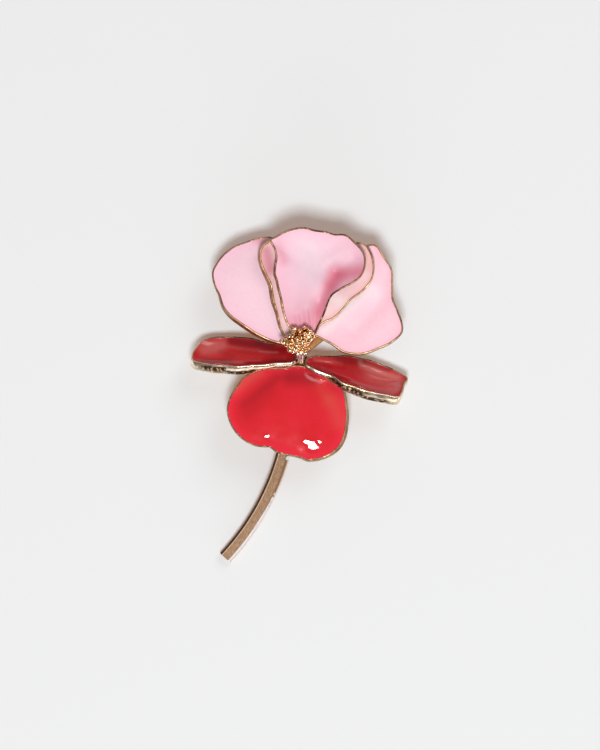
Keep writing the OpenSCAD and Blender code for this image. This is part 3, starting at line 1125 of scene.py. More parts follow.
        # Marks for the finish: the edge band, painted shade and painted highlights.
        marks = {
            "open": np.array(opened),
            "stain": self.strength(self.stains, places[..., :2]),
            "sheen": self.strength(self.sheens, places[..., :2]),
        }
        height = float(self.face(self.centre, True))
        top = np.array([*self.centre, height - self.enamel_sink])
        under = np.array([*self.centre, height - depth])
        return self.seated(skin(places, top, under, marks))

    def strength(self, lines: list[Fold], points: Array) -> Array:
        """How strong soft lines are together: 1 less the product of what each leaves.

        Args:
            lines: the lines.
            points: places in the petal's plane.

        Returns:
            One strength for each place.
        """
        left = np.ones(points.shape[:-1])
        for line in lines:
            left = left * (1.0 - line.depth_at(points))
        return 1.0 - left

    def seated(self, shell: Shell) -> Shell:
        """Returns a shell of the petal's own frame in the frame of the brooch."""
        placed = Shell(self.seat.place(shell.points), shell.quads, shell.triangles, shell.marks)
        return placed.outward()

    def build(self) -> None:
        """Makes the tray and its enamel."""
        tray = as_object(self.tray(), f"tray_{self.name}")
        dress(tray, self.metal)
        settle(tray, "gold", self.node)
        fill = as_object(self.fill(), f"fill_{self.name}")
        dress(fill, self.enamel)
        settle(fill, self.slot, f"enamel_{self.name}")


def rim_patina(*rows: Pair) -> tuple[tuple[float, ...], ...]:
    """Returns a dark tone table, painted shade in part, from rows of direction and rim value, over
    a lightly dark wall.
    """
    return tuple((*row, 0.1, 0.15, 0.25, 0.3, 0.35) for row in rows)


def pink_petals() -> list[Petal]:
    """Makes the four pink petals, with lines of painted shade and painted highlights.

    Returns:
        The petals, from the lowest layer to the top one.
    """
    left = Petal(
        "left", "petal_left", "enamel_pink", Enamel.PINK,
        middle=(-6.5, 19.0, 7.4), dish=2.0, root_dir=300.0, flare=0.45, flare_dir=240.0, seed=11,
        patina=rim_patina((60.0, 0.3), (120.0, 0.45), (190.0, 0.5), (230.0, 0.2), (300.0, 0.1)),
        stains=[Fold((-7.4, 28.0), (-5.8, 26.8), 1.1, 0.5)],
        rim=[
            (30, 7.3, 7.2), (62, 9, 6.9), (81, 9.4, 6.4), (99, 9.2, 6.1), (112, 9.1, 6.1),
            (127, 9.4, 6.3), (152, 9.7, 6.7), (163, 9.7, 6.9), (179, 8.7, 7.2), (189, 8.1, 7.4),
            (205, 8, 7.6), (232, 7.5, 7.7), (249, 7.7, 7.7), (266, 8.5, 7.6), (279, 9.5, 7.4),
            (288, 10.3, 7.2), (298, 11.7, 7.05), (306, 11.3, 7.05), (322, 9.2, 7.1),
            (352, 6.9, 7.2),
        ],
    )
    right = Petal(
        "right", "petal_right", "enamel_pink", Enamel.PINK_PAINTED_LIGHT,
        middle=(10.0, 16.0, 7.6), dish=2.0, root_dir=210.0, flare=0.15, flare_dir=270.0, seed=23,
        folds=[Fold((14.2, 17.0), (9.4, 11.6), 1.8, 0.3)],
        sheens=[
            Fold((12.6, 18.9), (8.8, 16.2), 1.2, 0.5), Fold((8.8, 16.2), (4.2, 11.4), 0.9, 0.6),
        ],
        patina=rim_patina(
            (35.0, 0.3), (75.0, 0.1), (150.0, 0.2), (215.0, 0.1), (290.0, 0.15), (338.0, 0.8),
        ),
        rim=[
            (11, 6.6, 8), (31, 7.5, 8.2), (46, 9, 8.4), (60, 9.9, 8.5), (75, 11.3, 8.6),
            (95, 9, 7.9), (120, 5.8, 7.4), (150, 5, 7.2), (180, 6.2, 7.1), (202, 8.8, 7.05),
            (210, 10.2, 7.05), (218, 9, 7.1), (230, 8.35, 7.2), (242, 8.25, 7.3),
            (255, 8.6, 7.35), (276, 8.7, 7.4), (296, 8.6, 7.4), (314, 9.1, 7.6), (330, 9.4, 7.8),
            (343, 8.3, 7.9), (353, 7.4, 7.9),
        ],
    )
    centre_back = Petal(
        "centre_back", "petal_centre_back", "enamel_pink", Enamel.PINK_PAINTED_REFLECTION,
        middle=(1.5, 20.5, 8.6), dish=2.0, root_dir=267.0, flare=0.45, flare_dir=190.0, seed=37,
        clear=0.5,
        patina=rim_patina(
            (20.0, 0.35), (150.0, 0.0), (185.0, 0.3), (215.0, 0.7), (265.0, 0.5), (310.0, 0.2),
        ),
        stains=[
            Fold((-6.0, 25.6), (-5.4, 22.5), 1.2, 0.7),
            Fold((11.2, 25.2), (11.8, 22.8), 1.0, 0.2),
        ],
        sheens=[Fold((5.2, 18.0), (9.4, 15.0), 1.0, 0.35)],
        rim=[
            (2, 11.3, 9.6), (18, 12, 9.7), (31, 11.9, 9.6), (37, 11.2, 9.6), (44, 9.5, 9.5),
            (64, 7.9, 9.4), (93, 8.1, 9.5), (120, 8.9, 9.5), (135, 9.9, 9.5), (145, 10.3, 9.5),
            (155, 9.7, 9.4), (174, 7.7, 9.2), (190, 6.9, 9.1), (212, 7.5, 8.8), (227, 8.4, 8.6),
            (245, 10.8, 8.3), (257, 12.2, 8.1), (267, 12.1, 8.1), (272, 11.1, 8.1),
            (277, 9.7, 8.2), (283, 8.4, 8.3), (291, 8, 8.45), (304, 8.1, 8.6), (324, 8, 8.9),
            (337, 8.4, 9.1), (350, 10, 9.4),
        ],
    )
    centre_front = Petal(
        "centre_front", "petal_centre_front", "enamel_pink", Enamel.PINK_PAINTED_SHADE,
        middle=(1.0, 22.0, 10.0), dish=2.0, root_dir=269.0, flare=0.15, flare_dir=200.0, seed=41,
        folds=[
            Fold((9.5, 23.8), (6.2, 21.8), 1.6, 0.5),
            Fold((6.2, 21.8), (3.6, 16.5), 1.4, 0.5),
        ],
        stains=[
            Fold((11.8, 21.9), (6.4, 21.4), 1.6, 0.7),
            Fold((6.5, 21.3), (5.3, 19.6), 1.3, 0.6),
            Fold((5.3, 19.4), (3.3, 14.9), 1.4, 0.65),
            Fold((-0.6, 12.6), (3.2, 12.6), 2.4, 0.55),
            Fold((1.2, 15.4), (1.2, 12.6), 3.6, 0.2),
            Fold((-3.8, 26.6), (-2.9, 23.8), 1.0, 0.3),
        ],
        sheens=[Fold((1.6, 25.8), (3.0, 21.0), 2.8, 0.3)],
        pleats=[
            Fold((0.9, 15.2), (1.5, 11.5), 0.5, 0.16),
            Fold((2.6, 15.0), (2.4, 11.5), 0.45, 0.08),
            Fold((-0.7, 14.2), (0.2, 11.0), 0.45, 0.08),
        ],
        patina=rim_patina(
            (0.0, 0.2), (20.0, 0.3), (50.0, 0.9), (80.0, 0.9), (130.0, 0.3), (165.0, 0.75),
            (230.0, 0.6), (262.0, 0.1), (280.0, 1.0), (315.0, 1.0), (335.0, 0.6),
        ),
        rim=[
            (3, 10.4, 11.8), (16, 10.75, 11.6), (30, 10.1, 11.4), (43, 9.5, 11.3),
            (52, 8.35, 11.2), (60, 8, 11.1), (77, 7.5, 11.1), (93, 7.8, 11.2), (105, 7.9, 11.2),
            (128, 8.15, 11.2), (139, 8.45, 11.1), (146, 6.8, 11), (159, 5.8, 10.9),
            (185, 5.7, 10.7), (200, 5.6, 10.6), (223, 6.4, 10.4), (238, 8, 10.1),
            (253, 10.5, 9.6), (263, 12.8, 9.2), (269, 13.2, 9.2), (275, 12.7, 9.2),
            (282, 10.1, 9.6), (301, 7.2, 10.6), (318, 6.3, 11.4), (334, 7.1, 11.9),
            (345, 8.45, 12), (354, 9.7, 12),
        ],
    )
    return [left, right, centre_back, centre_front]


def bottom_petal() -> Petal:
    """Makes the bright red petal below, domed, with flat spots that catch the light, and lines of
    painted shade and painted highlights.

    Returns:
        The petal.
    """
    return Petal(
        "bottom", "petal_bottom", "enamel_red", Enamel.RED,
        middle=(-2.0, -3.0, 7.2), dish=2.0, root_dir=78.0, flare=0.4, flare_dir=330.0, seed=53,
        meniscus=0.6, clear=0.8,
        stains=[
            Fold((-10.2, -1.6), (-4.2, 3.2), 0.9, 0.4), Fold((-2.0, 3.2), (1.9, 3.1), 1.5, 0.65),
            Fold((-9.4, -3.2), (-5.6, 1.0), 1.6, 0.3),
        ],
        sheens=[
            Fold((-11.8, 1.2), (-7.4, 4.2), 1.1, 0.32), Fold((3.0, 2.2), (4.8, -0.8), 1.2, 0.14),
            Fold((5.6, -0.8), (7.0, -4.8), 1.5, 0.22),
        ],
        flats=[
            Flat((2.2, -8.9), 1.1, (0.0, 0.155)),
            Flat((1.1, -8.25), 0.6, (0.01, 0.155)),
            Flat((3.3, -8.3), 0.5, (-0.01, 0.155)),
            Flat((-6.0, -7.3), 0.4, (0.0, 0.155)),
        ],
        patina=rim_patina((20.0, 0.1), (120.0, 0.2), (165.0, 0.7), (290.0, 0.7), (330.0, 0.2)),
        rim=[
            (7, 10.3, 6.45), (22, 10.4, 6.2), (38, 9.3, 5.75), (59, 8.6, 5.45), (78, 8.6, 5.7),
            (100, 8.1, 5.95), (126, 9.4, 6.2), (142, 10.3, 6.4), (152, 10.5, 6.5), (171, 11.1, 6.6),
            (182, 11.1, 6.7), (202, 10.2, 6.8), (223, 8.7, 6.8), (235, 7.6, 6.9),
            (241, 7.2, 6.9), (249, 7.4, 6.9), (259, 7.6, 6.9), (270, 7.7, 6.9), (283, 8.3, 6.8),
            (291, 9.2, 6.8), (303, 9.9, 6.8), (320, 10.7, 6.8), (332, 10.8, 6.7),
            (350, 10.4, 6.6),
        ],
    )


def side_petal(side: str, **sizes: object) -> Petal:
    """A dark petal that leans over the middle, with a high cast wall.

    Args:
        side: left or right.
        sizes: the fields in which the two differ.

    Returns:
        The petal.
    """
    return Petal(
        f"wing_{side}", f"wing_{side}", "enamel_dark_red", Enamel.DARK_RED,
        middle=(10.5, 0.3, -1.2), dish=3.5, root_dir=180.0, metal=Gold.WING, wall=2.0, cast=0.08,
        swell=0.16, flare=0.2, flare_dir=300.0, rim_w=0.28, rim_shade=0.5, wall_loops=22, **sizes,
    )


def side_petals() -> list[Petal]:
    """Makes the two dark petals, with lines of painted shade and painted highlights.

    Returns:
        The left one and the right one.
    """
    left = side_petal(
        "left", seat=wing_seat((-0.5, 7.2, 7.0), 178.0), steps=20, seed=61,
        stains=[
            Fold((12.5, 3.6), (5.0, 2.6), 0.8, 0.65), Fold((7.3, 3.3), (3.0, 2.0), 1.0, 0.6),
            Fold((4.3, 0.4), (0.6, -0.5), 1.3, 0.15), Fold((16.8, -1.3), (12.3, -0.9), 0.8, 0.5),
            Fold((14.2, 1.3), (11.6, 0.2), 0.5, 0.2),
        ],
        sheens=[
            Fold((17.0, 1.1), (14.8, 2.0), 1.2, 0.45), Fold((16.2, 2.4), (13.8, 3.0), 0.9, 0.3),
            Fold((13.8, 2.6), (7.3, 1.9), 0.4, 0.22), Fold((7.0, 1.7), (3.9, 1.35), 0.22, 0.6),
        ],
        # Painted reflections and shade: the walls are painted dark where they reflect dark
        # surroundings, and behind the middle where the petals shade them.
        patina=(
            (10.0, 0.2, 0.0, 0.0, 0.0, 0.1, 0.2), (30.0, *PAINTED_SHADE_BEHIND),
            (160.0, *PAINTED_SHADE_BEHIND), (185.0, 0.2, 0.2, 0.2, 0.2, 0.3, 0.3),
            (215.0, 0.1, 0.1, 0.0, 0.0, 0.4, 0.5), (228.0, 0.1, 0.1, 0.0, 0.1, 1.0, 1.0),
            (296.0, 0.1, 0.1, 0.0, 0.2, 1.0, 1.0), (304.0, 0.2, 0.3, 1.0, 1.0, 1.0, 0.3),
            (334.0, 0.3, 0.3, 1.0, 1.0, 1.0, 0.3), (342.0, 0.2, 0.0, 0.0, 0.0, 0.1, 0.2),
        ),
        rim=[
            (8, 8.05, 0), (21, 7.5, 0), (33, 6.45, 0), (53, 4.8, 0), (90, 3.8, 0), (138, 4.7, 0),
            (158, 7, 0), (167, 9.1, 0), (180, 10.2, 0), (191, 10.1, 0), (202, 6.7, 0),
            (235, 3.8, 0), (297, 3.8, 0), (327, 5.95, 0), (343, 8.5, 0), (352, 8.65, 0),
        ],
    )
    right = side_petal(
        "right", seat=wing_seat((0.6, 6.0, 7.0), -13.0), steps=18, seed=71,
        stains=[
            Fold((6.0, 3.4), (10.6, 4.0), 0.8, 0.6), Fold((1.5, 0.6), (4.5, 1.3), 0.8, 0.3),
            Fold((11.0, 3.9), (15.5, 3.2), 0.3, 0.4), Fold((3.0, -0.6), (8.0, -2.6), 0.8, 0.35),
        ],
        sheens=[
            Fold((10.6, 3.3), (17.4, 2.0), 0.55, 0.65), Fold((12.8, 1.6), (17.4, 0.2), 1.9, 0.36),
            Fold((1.9, 1.6), (6.9, 2.6), 0.4, 0.2), Fold((10.1, 3.7), (10.4, 3.6), 0.35, 0.8),
        ],
        # Painted reflections and shade: the walls are painted dark where they reflect dark
        # surroundings, and behind the middle where the petals shade them.
        patina=(
            (10.0, 0.3, 0.0, 0.0, 0.0, 0.1, 0.2), (30.0, *PAINTED_SHADE_BEHIND),
            (160.0, *PAINTED_SHADE_BEHIND), (185.0, 0.2, 0.3, 0.5, 0.6, 0.7, 0.5),
            (202.0, 0.2, 0.3, 0.9, 1.0, 1.0, 0.6), (222.0, 0.1, 0.2, 1.0, 1.0, 1.0, 0.5),
            (280.0, 0.1, 0.2, 0.9, 1.0, 1.0, 0.5), (290.0, 0.0, 0.0, 0.0, 0.2, 1.0, 1.0),
            (324.0, 0.0, 0.0, 0.0, 0.1, 1.0, 1.0), (334.0, 0.2, 0.0, 0.0, 0.0, 0.1, 0.2),
        ),
        rim=[
            (11, 8.75, 0), (19, 7.8, 0), (30, 6.45, 0), (49, 5, 0), (73, 4.3, 0),
            (100, 4.1, 0), (142, 5.5, 0), (158, 7, 0), (168, 9, 0), (176, 10.2, 0),
            (184, 10.2, 0), (189, 8.8, 0), (201, 5.6, 0), (221, 4.6, 0), (254, 3.5, 0),
            (297, 4.2, 0), (322, 5.95, 0), (334, 7.95, 0), (341, 8.15, 0), (359, 8.15, 0),
        ],
    )
    return [left, right]


# Round and straight metal

EASE = 0.1  # How far the eased edges of flat metal are set in


def tube(path: Array, radii: Array, around: int = 20) -> Shell:
    """A round rod along a path, closed at both ends.

    Point k of ring r lies at the path's point plus its radius times the cosine along one and
    the sine along the other of two directions square to the path.

    Args:
        path: places by ring and axis.
        radii: the rod's radius at each of them.
        around: points in a ring.

    Returns:
        The shell.
    """
    run = unit(np.gradient(path, axis=0))
    hint = np.array([0.31, 0.17, 0.93]) if abs(run[0, 2]) < 0.8 else np.array([1.0, 0.2, 0.1])
    side = unit(np.cross(run, hint))
    other = np.cross(run, side)
    cosine, sine = turned(np.arange(around) * 360.0 / around)
    ring = cosine[:, None] * side[:, None, :] + sine[:, None] * other[:, None, :]
    return skin(path[:, None, :] + ring * radii[:, None, None], path[0], path[-1])


def upright(at: Pair, heights: Array, radii: Array, around: int) -> Shell:
    """Returns an upright rod at a place of the plan, with a radius for each height."""
    return tube(np.column_stack([np.tile(at, (len(heights), 1)), heights]), radii, around)


def ball(middle: Array, radius: float, squash: Array, around: int = 20) -> Shell:
    """A ball squashed along the axes: rings of radius sin(a) at heights cos(a).

    Args:
        middle: its middle.
        radius: its radius.
        squash: a factor along each axis.
        around: points in a ring.

    Returns:
        The shell.
    """
    tilt = np.linspace(0.0, 180.0, around // 2 + 1)[1:-1]
    height, width = turned(tilt)
    cosine, sine = turned(np.arange(around) * 360.0 / around)
    flat = np.stack([cosine, sine], axis=-1)[None] * width[:, None, None]
    tall = np.broadcast_to(height[:, None, None], (*flat.shape[:2], 1))
    points = middle + radius * squash * np.concatenate([flat, tall], axis=-1)
    pole = np.array([0.0, 0.0, radius]) * squash
    return skin(points, middle + pole, middle - pole)


def bar(start: Pair, end: Pair, width: float, bottom: float, top: float) -> Shell:
    """A flat bar with round ends and eased edges.

    Its outline is two half circles joined by straight sides. The four loops are the outline
    set in at the bottom, full above and below, and set in at the top.

    Args:
        start: the middle of one round end, in the plan.
        end: the middle of the other.
        width: the bar's width.
        bottom: the height of its underside.
        top: the height of its top.

    Returns:
        The shell.
    """
    first, last = np.array(start, float), np.array(end, float)
    angle = math.degrees(math.atan2(*(last - first)[::-1]))
    ways = np.concatenate([np.linspace(-90.0, 90.0, 17), np.linspace(90.0, 270.0, 17)]) + angle
    middles = np.repeat([last, first], 17, axis=0)
    out = np.stack(turned(ways), axis=-1)
    levels = ((bottom, EASE), (bottom + EASE, 0.0), (top - EASE, 0.0), (top, EASE))
    loops = []
    for height, inset in levels:
        plan = middles + (width / 2.0 - inset) * out
        loops.append(np.column_stack([plan, np.full(len(plan), height)]))
    centre = (first + last) / 2.0
    return skin(np.array(loops), np.array([*centre, bottom]), np.array([*centre, top]))


@dataclass
class FlowerFrame:
    """Hub plate, post, neck, two arms and the curved stem, soldered into one piece."""

    hub_at: Pair = (-0.6, 6.2)
    hub_r: float = 1.9
    hub_z: float = 3.5
    hub_t: float = 1.1
    post_at: Pair = (0.05, 6.15)
    post_r: float = 0.55
    post_top: float = 7.9
    post_ease: float = 0.08
    neck_at: Pair = (0.35, 8.2)
    fork_at: Pair = (0.35, 10.3)
    left_arm_end: Pair = (-7.2, 15.0)
    right_arm_end: Pair = (8.9, 14.7)
    arm_w: float = 2.0
    arm_z: float = 4.75
    arm_top: float = 6.0
    stem_w: float = 2.5
    stem_t: float = 1.4
    stem_chamfer: float = 0.3
    stem_bevel: float = 0.6
    stem_r: float = 44.4
    stem_centre: Pair = (-46.0, 1.0)
    stem_from: float = -43.1
    stem_to: float = 6.0
    stem_root_y: float = 6.0
    stem_root_z: float = 2.9
    stem_ease: float = 0.05
    # Painted glint along the bevel: where it starts, how far it grows and its most; then a spot of
    # it near the top end.
    glint_from: float = -14.0
    glint_over: float = 12.0
    glint_most: float = 0.7
    glint_y: float = -11.3
    glint_half: float = 0.35
    glint: float = 0.9

    def stem_profile(self) -> Array:
        """The stem's section: a bar with a chamfer and a bevel on top, its corners eased.

        Each corner is replaced by three points: one before it and one after it at the ease's
        distance, and one inside it by a quarter of the sum of the two ways.

        Returns:
            Its points, across and up.
        """
        half, top = self.stem_w / 2.0, self.stem_t
        corners = np.array([
            [-half, 0.0], [half, 0.0], [half, top - self.stem_bevel],
            [half - self.stem_bevel, top], [self.stem_chamfer - half, top],
            [-half, top - self.stem_chamfer],
        ])
        before, after = (
            unit(np.roll(corners, step, axis=0) - corners) * self.stem_ease for step in (1, -1)
        )
        ways = np.stack([before, (before + after) / 4.0, after], axis=1)
        return (corners[:, None] + ways).reshape(-1, 2)

    def stem_drop(self) -> float:
        """How far the stem is tipped, so that its end meets the surface.

        Returns:
            The angle whose sine is the root's height over the length in Y from there to the end.
        """
        end = (self.stem_r + self.stem_w / 2.0) * turned(self.stem_from)[1]
        length = self.stem_root_y - self.stem_centre[1] - end
        return math.degrees(math.asin(self.stem_root_z / length))

    def stem(self) -> Shell:
        """The stem's section swept along its arc, then tipped until its end meets the surface.

        The sections' points lie at the arc's radius plus their own offset. The arc is tipped
        about a line along X at the stem's root. Low noise leaves the faces a little uneven.

        Returns:
            The shell.
        """
        profile = self.stem_profile()
        angles = np.linspace(self.stem_from, self.stem_to, 260)
        cosine, sine = turned(angles)
        radius = self.stem_r + profile[:, 0]
        x = self.stem_centre[0] + cosine[:, None] * radius
        y = self.stem_centre[1] - self.stem_root_y + sine[:, None] * radius
        z = np.broadcast_to(profile[:, 1], x.shape)
        drop_cos, drop_sin = turned(self.stem_drop())
        along = self.stem_root_y + y * drop_cos - z * drop_sin
        up = self.stem_root_z + y * drop_sin + z * drop_cos
        loops = np.stack([x, along, up], axis=-1)
        loops[..., 2] += 0.02 * lattice_noise(loops, 1.1, 5) * (z > 0.5)
        return skin(loops, loops[0].mean(axis=0), loops[-1].mean(axis=0))

    def post(self) -> Shell:
        """The post as a rod with an eased top.

        Returns:
            The shell.
        """
        heights = np.array([self.hub_z, self.post_top - self.post_ease, self.post_top])
        radii = self.post_r - np.array([0.0, 0.0, self.post_ease])
        return upright(self.post_at, heights, radii, 32)

    def hub(self) -> Shell:
        """Returns the hub plate as a short rod with eased edges."""
        heights = self.hub_z + np.array([0.0, EASE, self.hub_t - EASE, self.hub_t])
        return upright(self.hub_at, heights, self.hub_r - np.array([EASE, 0.0, 0.0, EASE]), 64)

    def across(self, points: Array) -> Array:
        """How far points lie outside the stem's middle line, once its arc is tipped flat again.

        Args:
            points: the places.

        Returns:
            Their distances from the arc's centre less its radius.
        """
        along = (points[:, 1] - self.stem_root_y) / turned(self.stem_drop())[0]
        flat = np.column_stack([points[:, 0], along + self.stem_root_y])
        return np.linalg.norm(flat - np.array(self.stem_centre), axis=1) - self.stem_r

    def build(self) -> None:
        """Makes the frame, and marks how far across the stem each place lies."""
        arms = [
            bar(self.neck_at, self.right_arm_end, self.arm_w, self.arm_z, self.arm_top),
            bar(self.neck_at, self.fork_at, self.arm_w, self.hub_z, self.arm_top),
            bar(self.fork_at, self.left_arm_end, self.arm_w, self.arm_z, self.arm_top),
        ]
        piece = fused([self.stem(), self.hub(), self.post(), *arms], "flower_frame")
        dress(piece, Gold.STEM, Gold.PLATE)
        second_finish(piece, above=self.stem_root_y - self.hub_r)
        points = vertices(piece)
        marked(piece, "darkening_mark", np.full(len(points), 0.15))
        marked(piece, "across", self.across(points))
        # Painted glint: a spot near the top end, and more on the bevel towards the stem's end.
        glint = self.glint * np.exp(-(((points[:, 1] - self.glint_y) / self.glint_half) ** 2))
        glint_share = np.clip((self.glint_from - points[:, 1]) / self.glint_over, 0.0, self.glint_most)
        marked(piece, "painted_glint", np.maximum(glint_share, glint))
        settle(piece, "gold", "frame")


@dataclass
class StamenCluster:
    """The cast stamens: a fluted foot, a head, and stalks that end in beads.

    The table has a row for each stamen: the bead's place and its size beside the common one.
    A second table has the small beads that sit between them on the head.
    """

    bead_r: float = 0.46
    bead_uneven: float = 0.12
    stalk_r: Pair = (0.475, 0.275)
    dimple: float = 0.45
    dimple_edge: float = 0.71
    foot_r: float = 0.6
    foot_top_r: float = 0.9
    foot_at: Triple = (0.05, 6.15, 7.95)
    foot_to_y: float = 7.4
    foot_fade: Pair = (7.2, 7.7)
    # How dark the hollows and painted shade are, by distance from a bead over its radius.
    deep_at: Four = (0.6, 0.85, 1.1, 2.0)
    deep: Four = (1.0, 0.0, 0.0, 0.9)
    flutes: float = 7.0
    flute_depth: float = 0.22
    head_at: Triple = (0.0, 8.0, 9.7)
    head_r: float = 0.95
    cell: float = 0.05
    rows: list[Four] = field(default_factory=lambda: [
        (-1.5, 11.7, 11.2, 1), (-0.1, 11.4, 11.7, 0.95), (0.7, 11.9, 11.3, 1.05),
        (1.65, 11.2, 11.5, 1), (2.45, 10.6, 11, 1.1), (-3.35, 9.7, 10.4, 1), (-2.4, 9.5, 11, 0.9),
        (-1.85, 9.4, 11.5, 0.95), (-2, 10.5, 11.3, 0.95), (-1.4, 10.6, 11.9, 0.95),
        (-0.55, 10.1, 12.3, 1), (-1.15, 11.2, 11.6, 0.9), (-0.7, 9.1, 12, 1),
        (0.4, 9.4, 12.38, 1), (1.2, 9.1, 11.9, 1), (-1.95, 8.1, 10.8, 1), (-0.4, 8.6, 11.6, 0.9),
        (1.4, 10.5, 12, 1), (0.75, 10.8, 12.2, 0.95), (-0.9, 8.1, 11.3, 0.95),
        (0.75, 7.5, 10.9, 0.9),
    ])
    small: list[Four] = field(default_factory=lambda: [
        (-2.7, 10.3, 10.8, 0.6), (-0.9, 11.9, 11.2, 0.6), (0.2, 10.2, 12.1, 0.6),
        (-1.5, 10.0, 11.8, 0.55), (1.9, 9.9, 11.6, 0.6), (-0.1, 10.8, 12.0, 0.55),
        (1.0, 10.0, 12.1, 0.6), (-1.3, 8.9, 11.4, 0.65), (0.3, 8.4, 11.6, 0.6),
        (1.0, 8.2, 11.3, 0.6), (-1.4, 7.7, 10.7, 0.65), (0.1, 7.6, 11.0, 0.6),
        (1.3, 11.8, 11.2, 0.6), (2.1, 11.0, 11.2, 0.6), (-2.6, 8.9, 10.7, 0.6),
        (-0.5, 7.4, 10.5, 0.65), (1.6, 8.4, 11.1, 0.6), (-0.1, 9.6, 12.1, 0.55),
    ])

    def foot(self) -> Shell:
        """The foot: a fluted funnel from the post to the head.

        Its radius goes from the foot's to the top's by the smooth step, and each valley takes
        its share off the radius.

        Returns:
            The shell.
        """
        start, end = np.array(self.foot_at), np.array(self.head_at)
        share = np.linspace(0.0, 1.0, 14)
        smooth = share**2 * (3.0 - 2.0 * share)
        path = start + (end - start) * share[:, None]
        shell = tube(path, self.foot_r + (self.foot_top_r - self.foot_r) * smooth, 56)
        out, valley = self.valleys(shell.points)
        shell.points -= out * (self.flute_depth * valley)[:, None]
        return shell

    def valleys(self, points: Array) -> tuple[Array, Array]:
        """Where points lie in the foot's flutes.

        Args:
            points: places on or near the foot.

        Returns:
            Their offsets from the foot's axis, and a wave from 0 on a ridge to 1 in a valley:
            half of 1 less the cosine of the angle round the axis times the number of flutes.
        """
        axis = unit(np.subtract(self.head_at, self.foot_at))
        away = points - np.array(self.foot_at)
        out = away - (away @ axis)[:, None] * axis
        angle = np.arctan2(out @ np.cross(axis, [1.0, 0.0, 0.0]), out[:, 0])
        return out, (1.0 - np.cos(self.flutes * angle)) / 2.0

    def stamen(self, row: Array, seed: int) -> list[Shell]:
        """One stamen: a stalk that thins, and a bead with a dimple, which isn't quite round.

        The dimple faces halfway between up and away from the head. There the bead's radius is
        less by the dimple's share, which falls with the square to 0 where the cosine of the
        angle to it is that of the dimple's edge.

        Args:
            row: the bead's place and size.
            seed: a whole number that picks how its shape is uneven.

        Returns:
            The stalk and the bead.
        """
        head, bead = np.array(self.head_at), row[:3]
        share = np.linspace(0.0, 1.0, 9)[:, None]
        radii = np.linspace(*self.stalk_r, 9)
        uneven = lattice_noise(np.array([[seed, k, 0.5] for k in range(3)]), 0.7, 9)
        shell = ball(bead, self.bead_r * row[3], 1.0 + self.bead_uneven * uneven, 28)
        away = shell.points - bead
        facing = unit(unit(bead - head) + np.array([0.0, 0.0, 1.0]))
        edge = self.dimple_edge
        near = np.clip((unit(away) @ facing - edge) / (1.0 - edge), 0.0, 1.0)
        shell.points = bead + away * (1.0 - self.dimple * near**2)[:, None]
        return [tube(head + (bead - head) * share, radii, 12), shell]

    def build(self) -> None:
        """Makes the cluster; dimples and gaps between beads are marked dark, painted shade in part.
        """
        parts = [self.foot(), ball(np.array(self.head_at), self.head_r, np.ones(3), 24)]
        rows = np.array(self.rows + self.small)
        for seed, row in enumerate(rows):
            parts += self.stamen(row, seed)
        piece = remeshed(joined(parts), "stamen_cluster", self.cell)
        place = vertices(piece)
        away = np.linalg.norm(place[:, None] - rows[:, :3], axis=-1)
        nearest = (away / (self.bead_r * rows[:, 3])).min(axis=1)
        # Painted shade and dark hollows: in the dimples, between the beads and in the foot's
        # flutes.
        deep = np.interp(nearest, self.deep_at, self.deep)
        at_foot = np.interp(place[:, 1], self.foot_fade, (1.0, 0.0))
        marked(piece, "darkening_mark", deep + at_foot * (self.valleys(place)[1] ** 2 - deep))
        dress(piece, Gold.CLUSTER, Gold.FOOT)
        second_finish(piece, below=self.foot_to_y)
        settle(piece, "gold", "stamens")


# Stage


@dataclass(frozen=True)
class Softbox:
    """A rectangular lamp that faces the flower.

    Its azimuth is measured in the plan from +X towards +Y. Its width and height are the angles,
    in degrees, under which the flower sees it, and its radiance is that of its surface.
    """

    name: str
    azimuth: float
    elevation: float
    width: float
    height: float
    radiance: float
    tint: Triple = (1.0, 1.0, 1.0)
    distance: float = 1400.0

    def place(self, target: Array) -> None:
        """Adds the lamp, whose power is its radiance times pi times its area.

        Args:
            target: the place that it is turned to.
        """
        sides = [2.0 * self.distance * MM * math.tan(math.radians(angle / 2.0))
                 for angle in (self.width, self.height)]
        lamp = bpy.data.lights.new(self.name, "AREA")
        lamp.shape = "RECTANGLE"
        lamp.size, lamp.size_y = sides
        lamp.energy = self.radiance * math.pi * sides[0] * sides[1]
        lamp.color = self.tint
        plan_cos, plan_sin = turned(self.azimuth)
        rise_cos, rise_sin = turned(self.elevation)
        way = np.array([plan_cos * rise_cos, plan_sin * rise_cos, rise_sin])
        box = linked(self.name, lamp)
        box.location = Vector((target + way * self.distance) * MM)
        box.rotation_euler = Vector(way).to_track_quat("Z", "Y").to_euler()


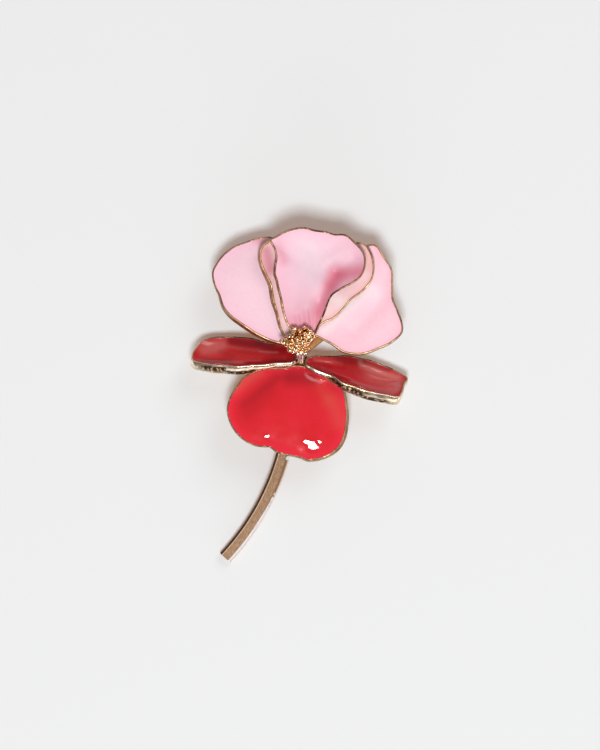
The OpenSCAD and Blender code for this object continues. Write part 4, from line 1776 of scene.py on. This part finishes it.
@dataclass
class Studio:
    """Floor, lamps, surroundings and camera.

    The camera looks straight down. The photograph's pixels give its place: the column and row
    of the brooch's origin, and the pixels to a millimetre at the height of the petals.
    """

    floor_size: float = 4000.0
    frame_px: tuple[int, int] = (600, 750)
    origin_px: Pair = (300.6, 395.5)
    px_per_mm: float = 5.6
    petal_z: float = 6.0
    camera_z: float = 500.0
    sensor: float = 24.0
    ambient: Triple = (0.15, 0.15, 0.15)
    # A cool floor tone under the floor's warm painted light: lit floor neutral, shadows warm.
    floor_tone: Triple = (0.598, 0.698, 0.735)
    floor_painted_light: Triple = (0.2, 0.09, 0.05)
    lamps: tuple[Softbox, ...] = (
        Softbox("key", 269.0, 72.0, 14.0, 14.0, 42.0),
        Softbox("window", 55.0, 40.0, 30.0, 30.0, 2.7),
        Softbox("far_card", 95.0, 16.0, 50.0, 14.0, 1.0),
        Softbox("near_card", 268.0, 12.0, 50.0, 22.0, 2.2),
        Softbox("right_card", 322.0, 4.0, 50.0, 8.0, 2.0),
    )

    def floor(self) -> None:
        """Adds the pale floor at height 0."""
        half = self.floor_size / 2.0 * MM
        corners = [(-half, -half, 0.0), (half, -half, 0.0), (half, half, 0.0), (-half, half, 0.0)]
        mesh = bpy.data.meshes.new("floor")
        mesh.from_pydata(corners, [], [(0, 1, 2, 3)])
        floor = linked("floor", mesh)
        acrylic = FloorFinish("floor_acrylic", self.floor_tone, self.floor_painted_light)
        mesh.materials.append(acrylic.material())
        floor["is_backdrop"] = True

    def surroundings(self) -> None:
        """Sets the even light that comes from all round."""
        world = bpy.data.worlds.new("studio")
        world.use_nodes = True
        world.node_tree.nodes["Background"].inputs["Color"].default_value = (*self.ambient, 1.0)
        bpy.context.scene.world = world

    def camera(self) -> None:
        """Adds the camera above the place that the photograph's middle shows."""
        x = (self.frame_px[0] / 2.0 - self.origin_px[0]) / self.px_per_mm
        y = (self.origin_px[1] - self.frame_px[1] / 2.0) / self.px_per_mm
        lens = bpy.data.cameras.new("camera")
        lens.sensor_fit = "VERTICAL"
        lens.sensor_height = self.sensor
        across = self.frame_px[1] / self.px_per_mm
        lens.lens = self.sensor * (self.camera_z - self.petal_z) / across
        lens.clip_start = 0.01
        lens.clip_end = 20.0
        eye = linked("camera", lens)
        eye.location = Vector((x, y, self.camera_z)) * MM
        bpy.context.scene.camera = eye

    def build(self) -> None:
        """Sets up the whole stage."""
        scene = bpy.context.scene
        scene.view_settings.view_transform = "Standard"
        self.floor()
        self.surroundings()
        target = np.array([0.0, 0.0, self.petal_z])
        for lamp in self.lamps:
            lamp.place(target)
        self.camera()
        LOG.info("stage: %d lamps", len(self.lamps))


def dress_pin() -> None:
    """Gives the hidden pin the plain metal's finish."""
    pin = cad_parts["pin_back"]
    dress(pin, Gold.PLATE)
    LOG.info("pin_back: kept, %d triangles", len(pin.data.polygons))


def write_sizes() -> None:
    """Works out the box of the fixed model and the box of the dressed one, and keeps neither."""
    boxes = [[list(map(float, corner)) for corner in box] for box in (CAD_BOX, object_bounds())]


def main() -> None:
    """Sets the stage and builds the brooch piece by piece."""
    logging.basicConfig(level=logging.INFO, format="%(name)s: %(message)s")
    Studio().build()
    for petal in [*pink_petals(), bottom_petal(), *side_petals()]:
        petal.build()
    FlowerFrame().build()
    StamenCluster().build()
    dress_pin()
    write_sizes()


if __name__ == "__main__":
    main()
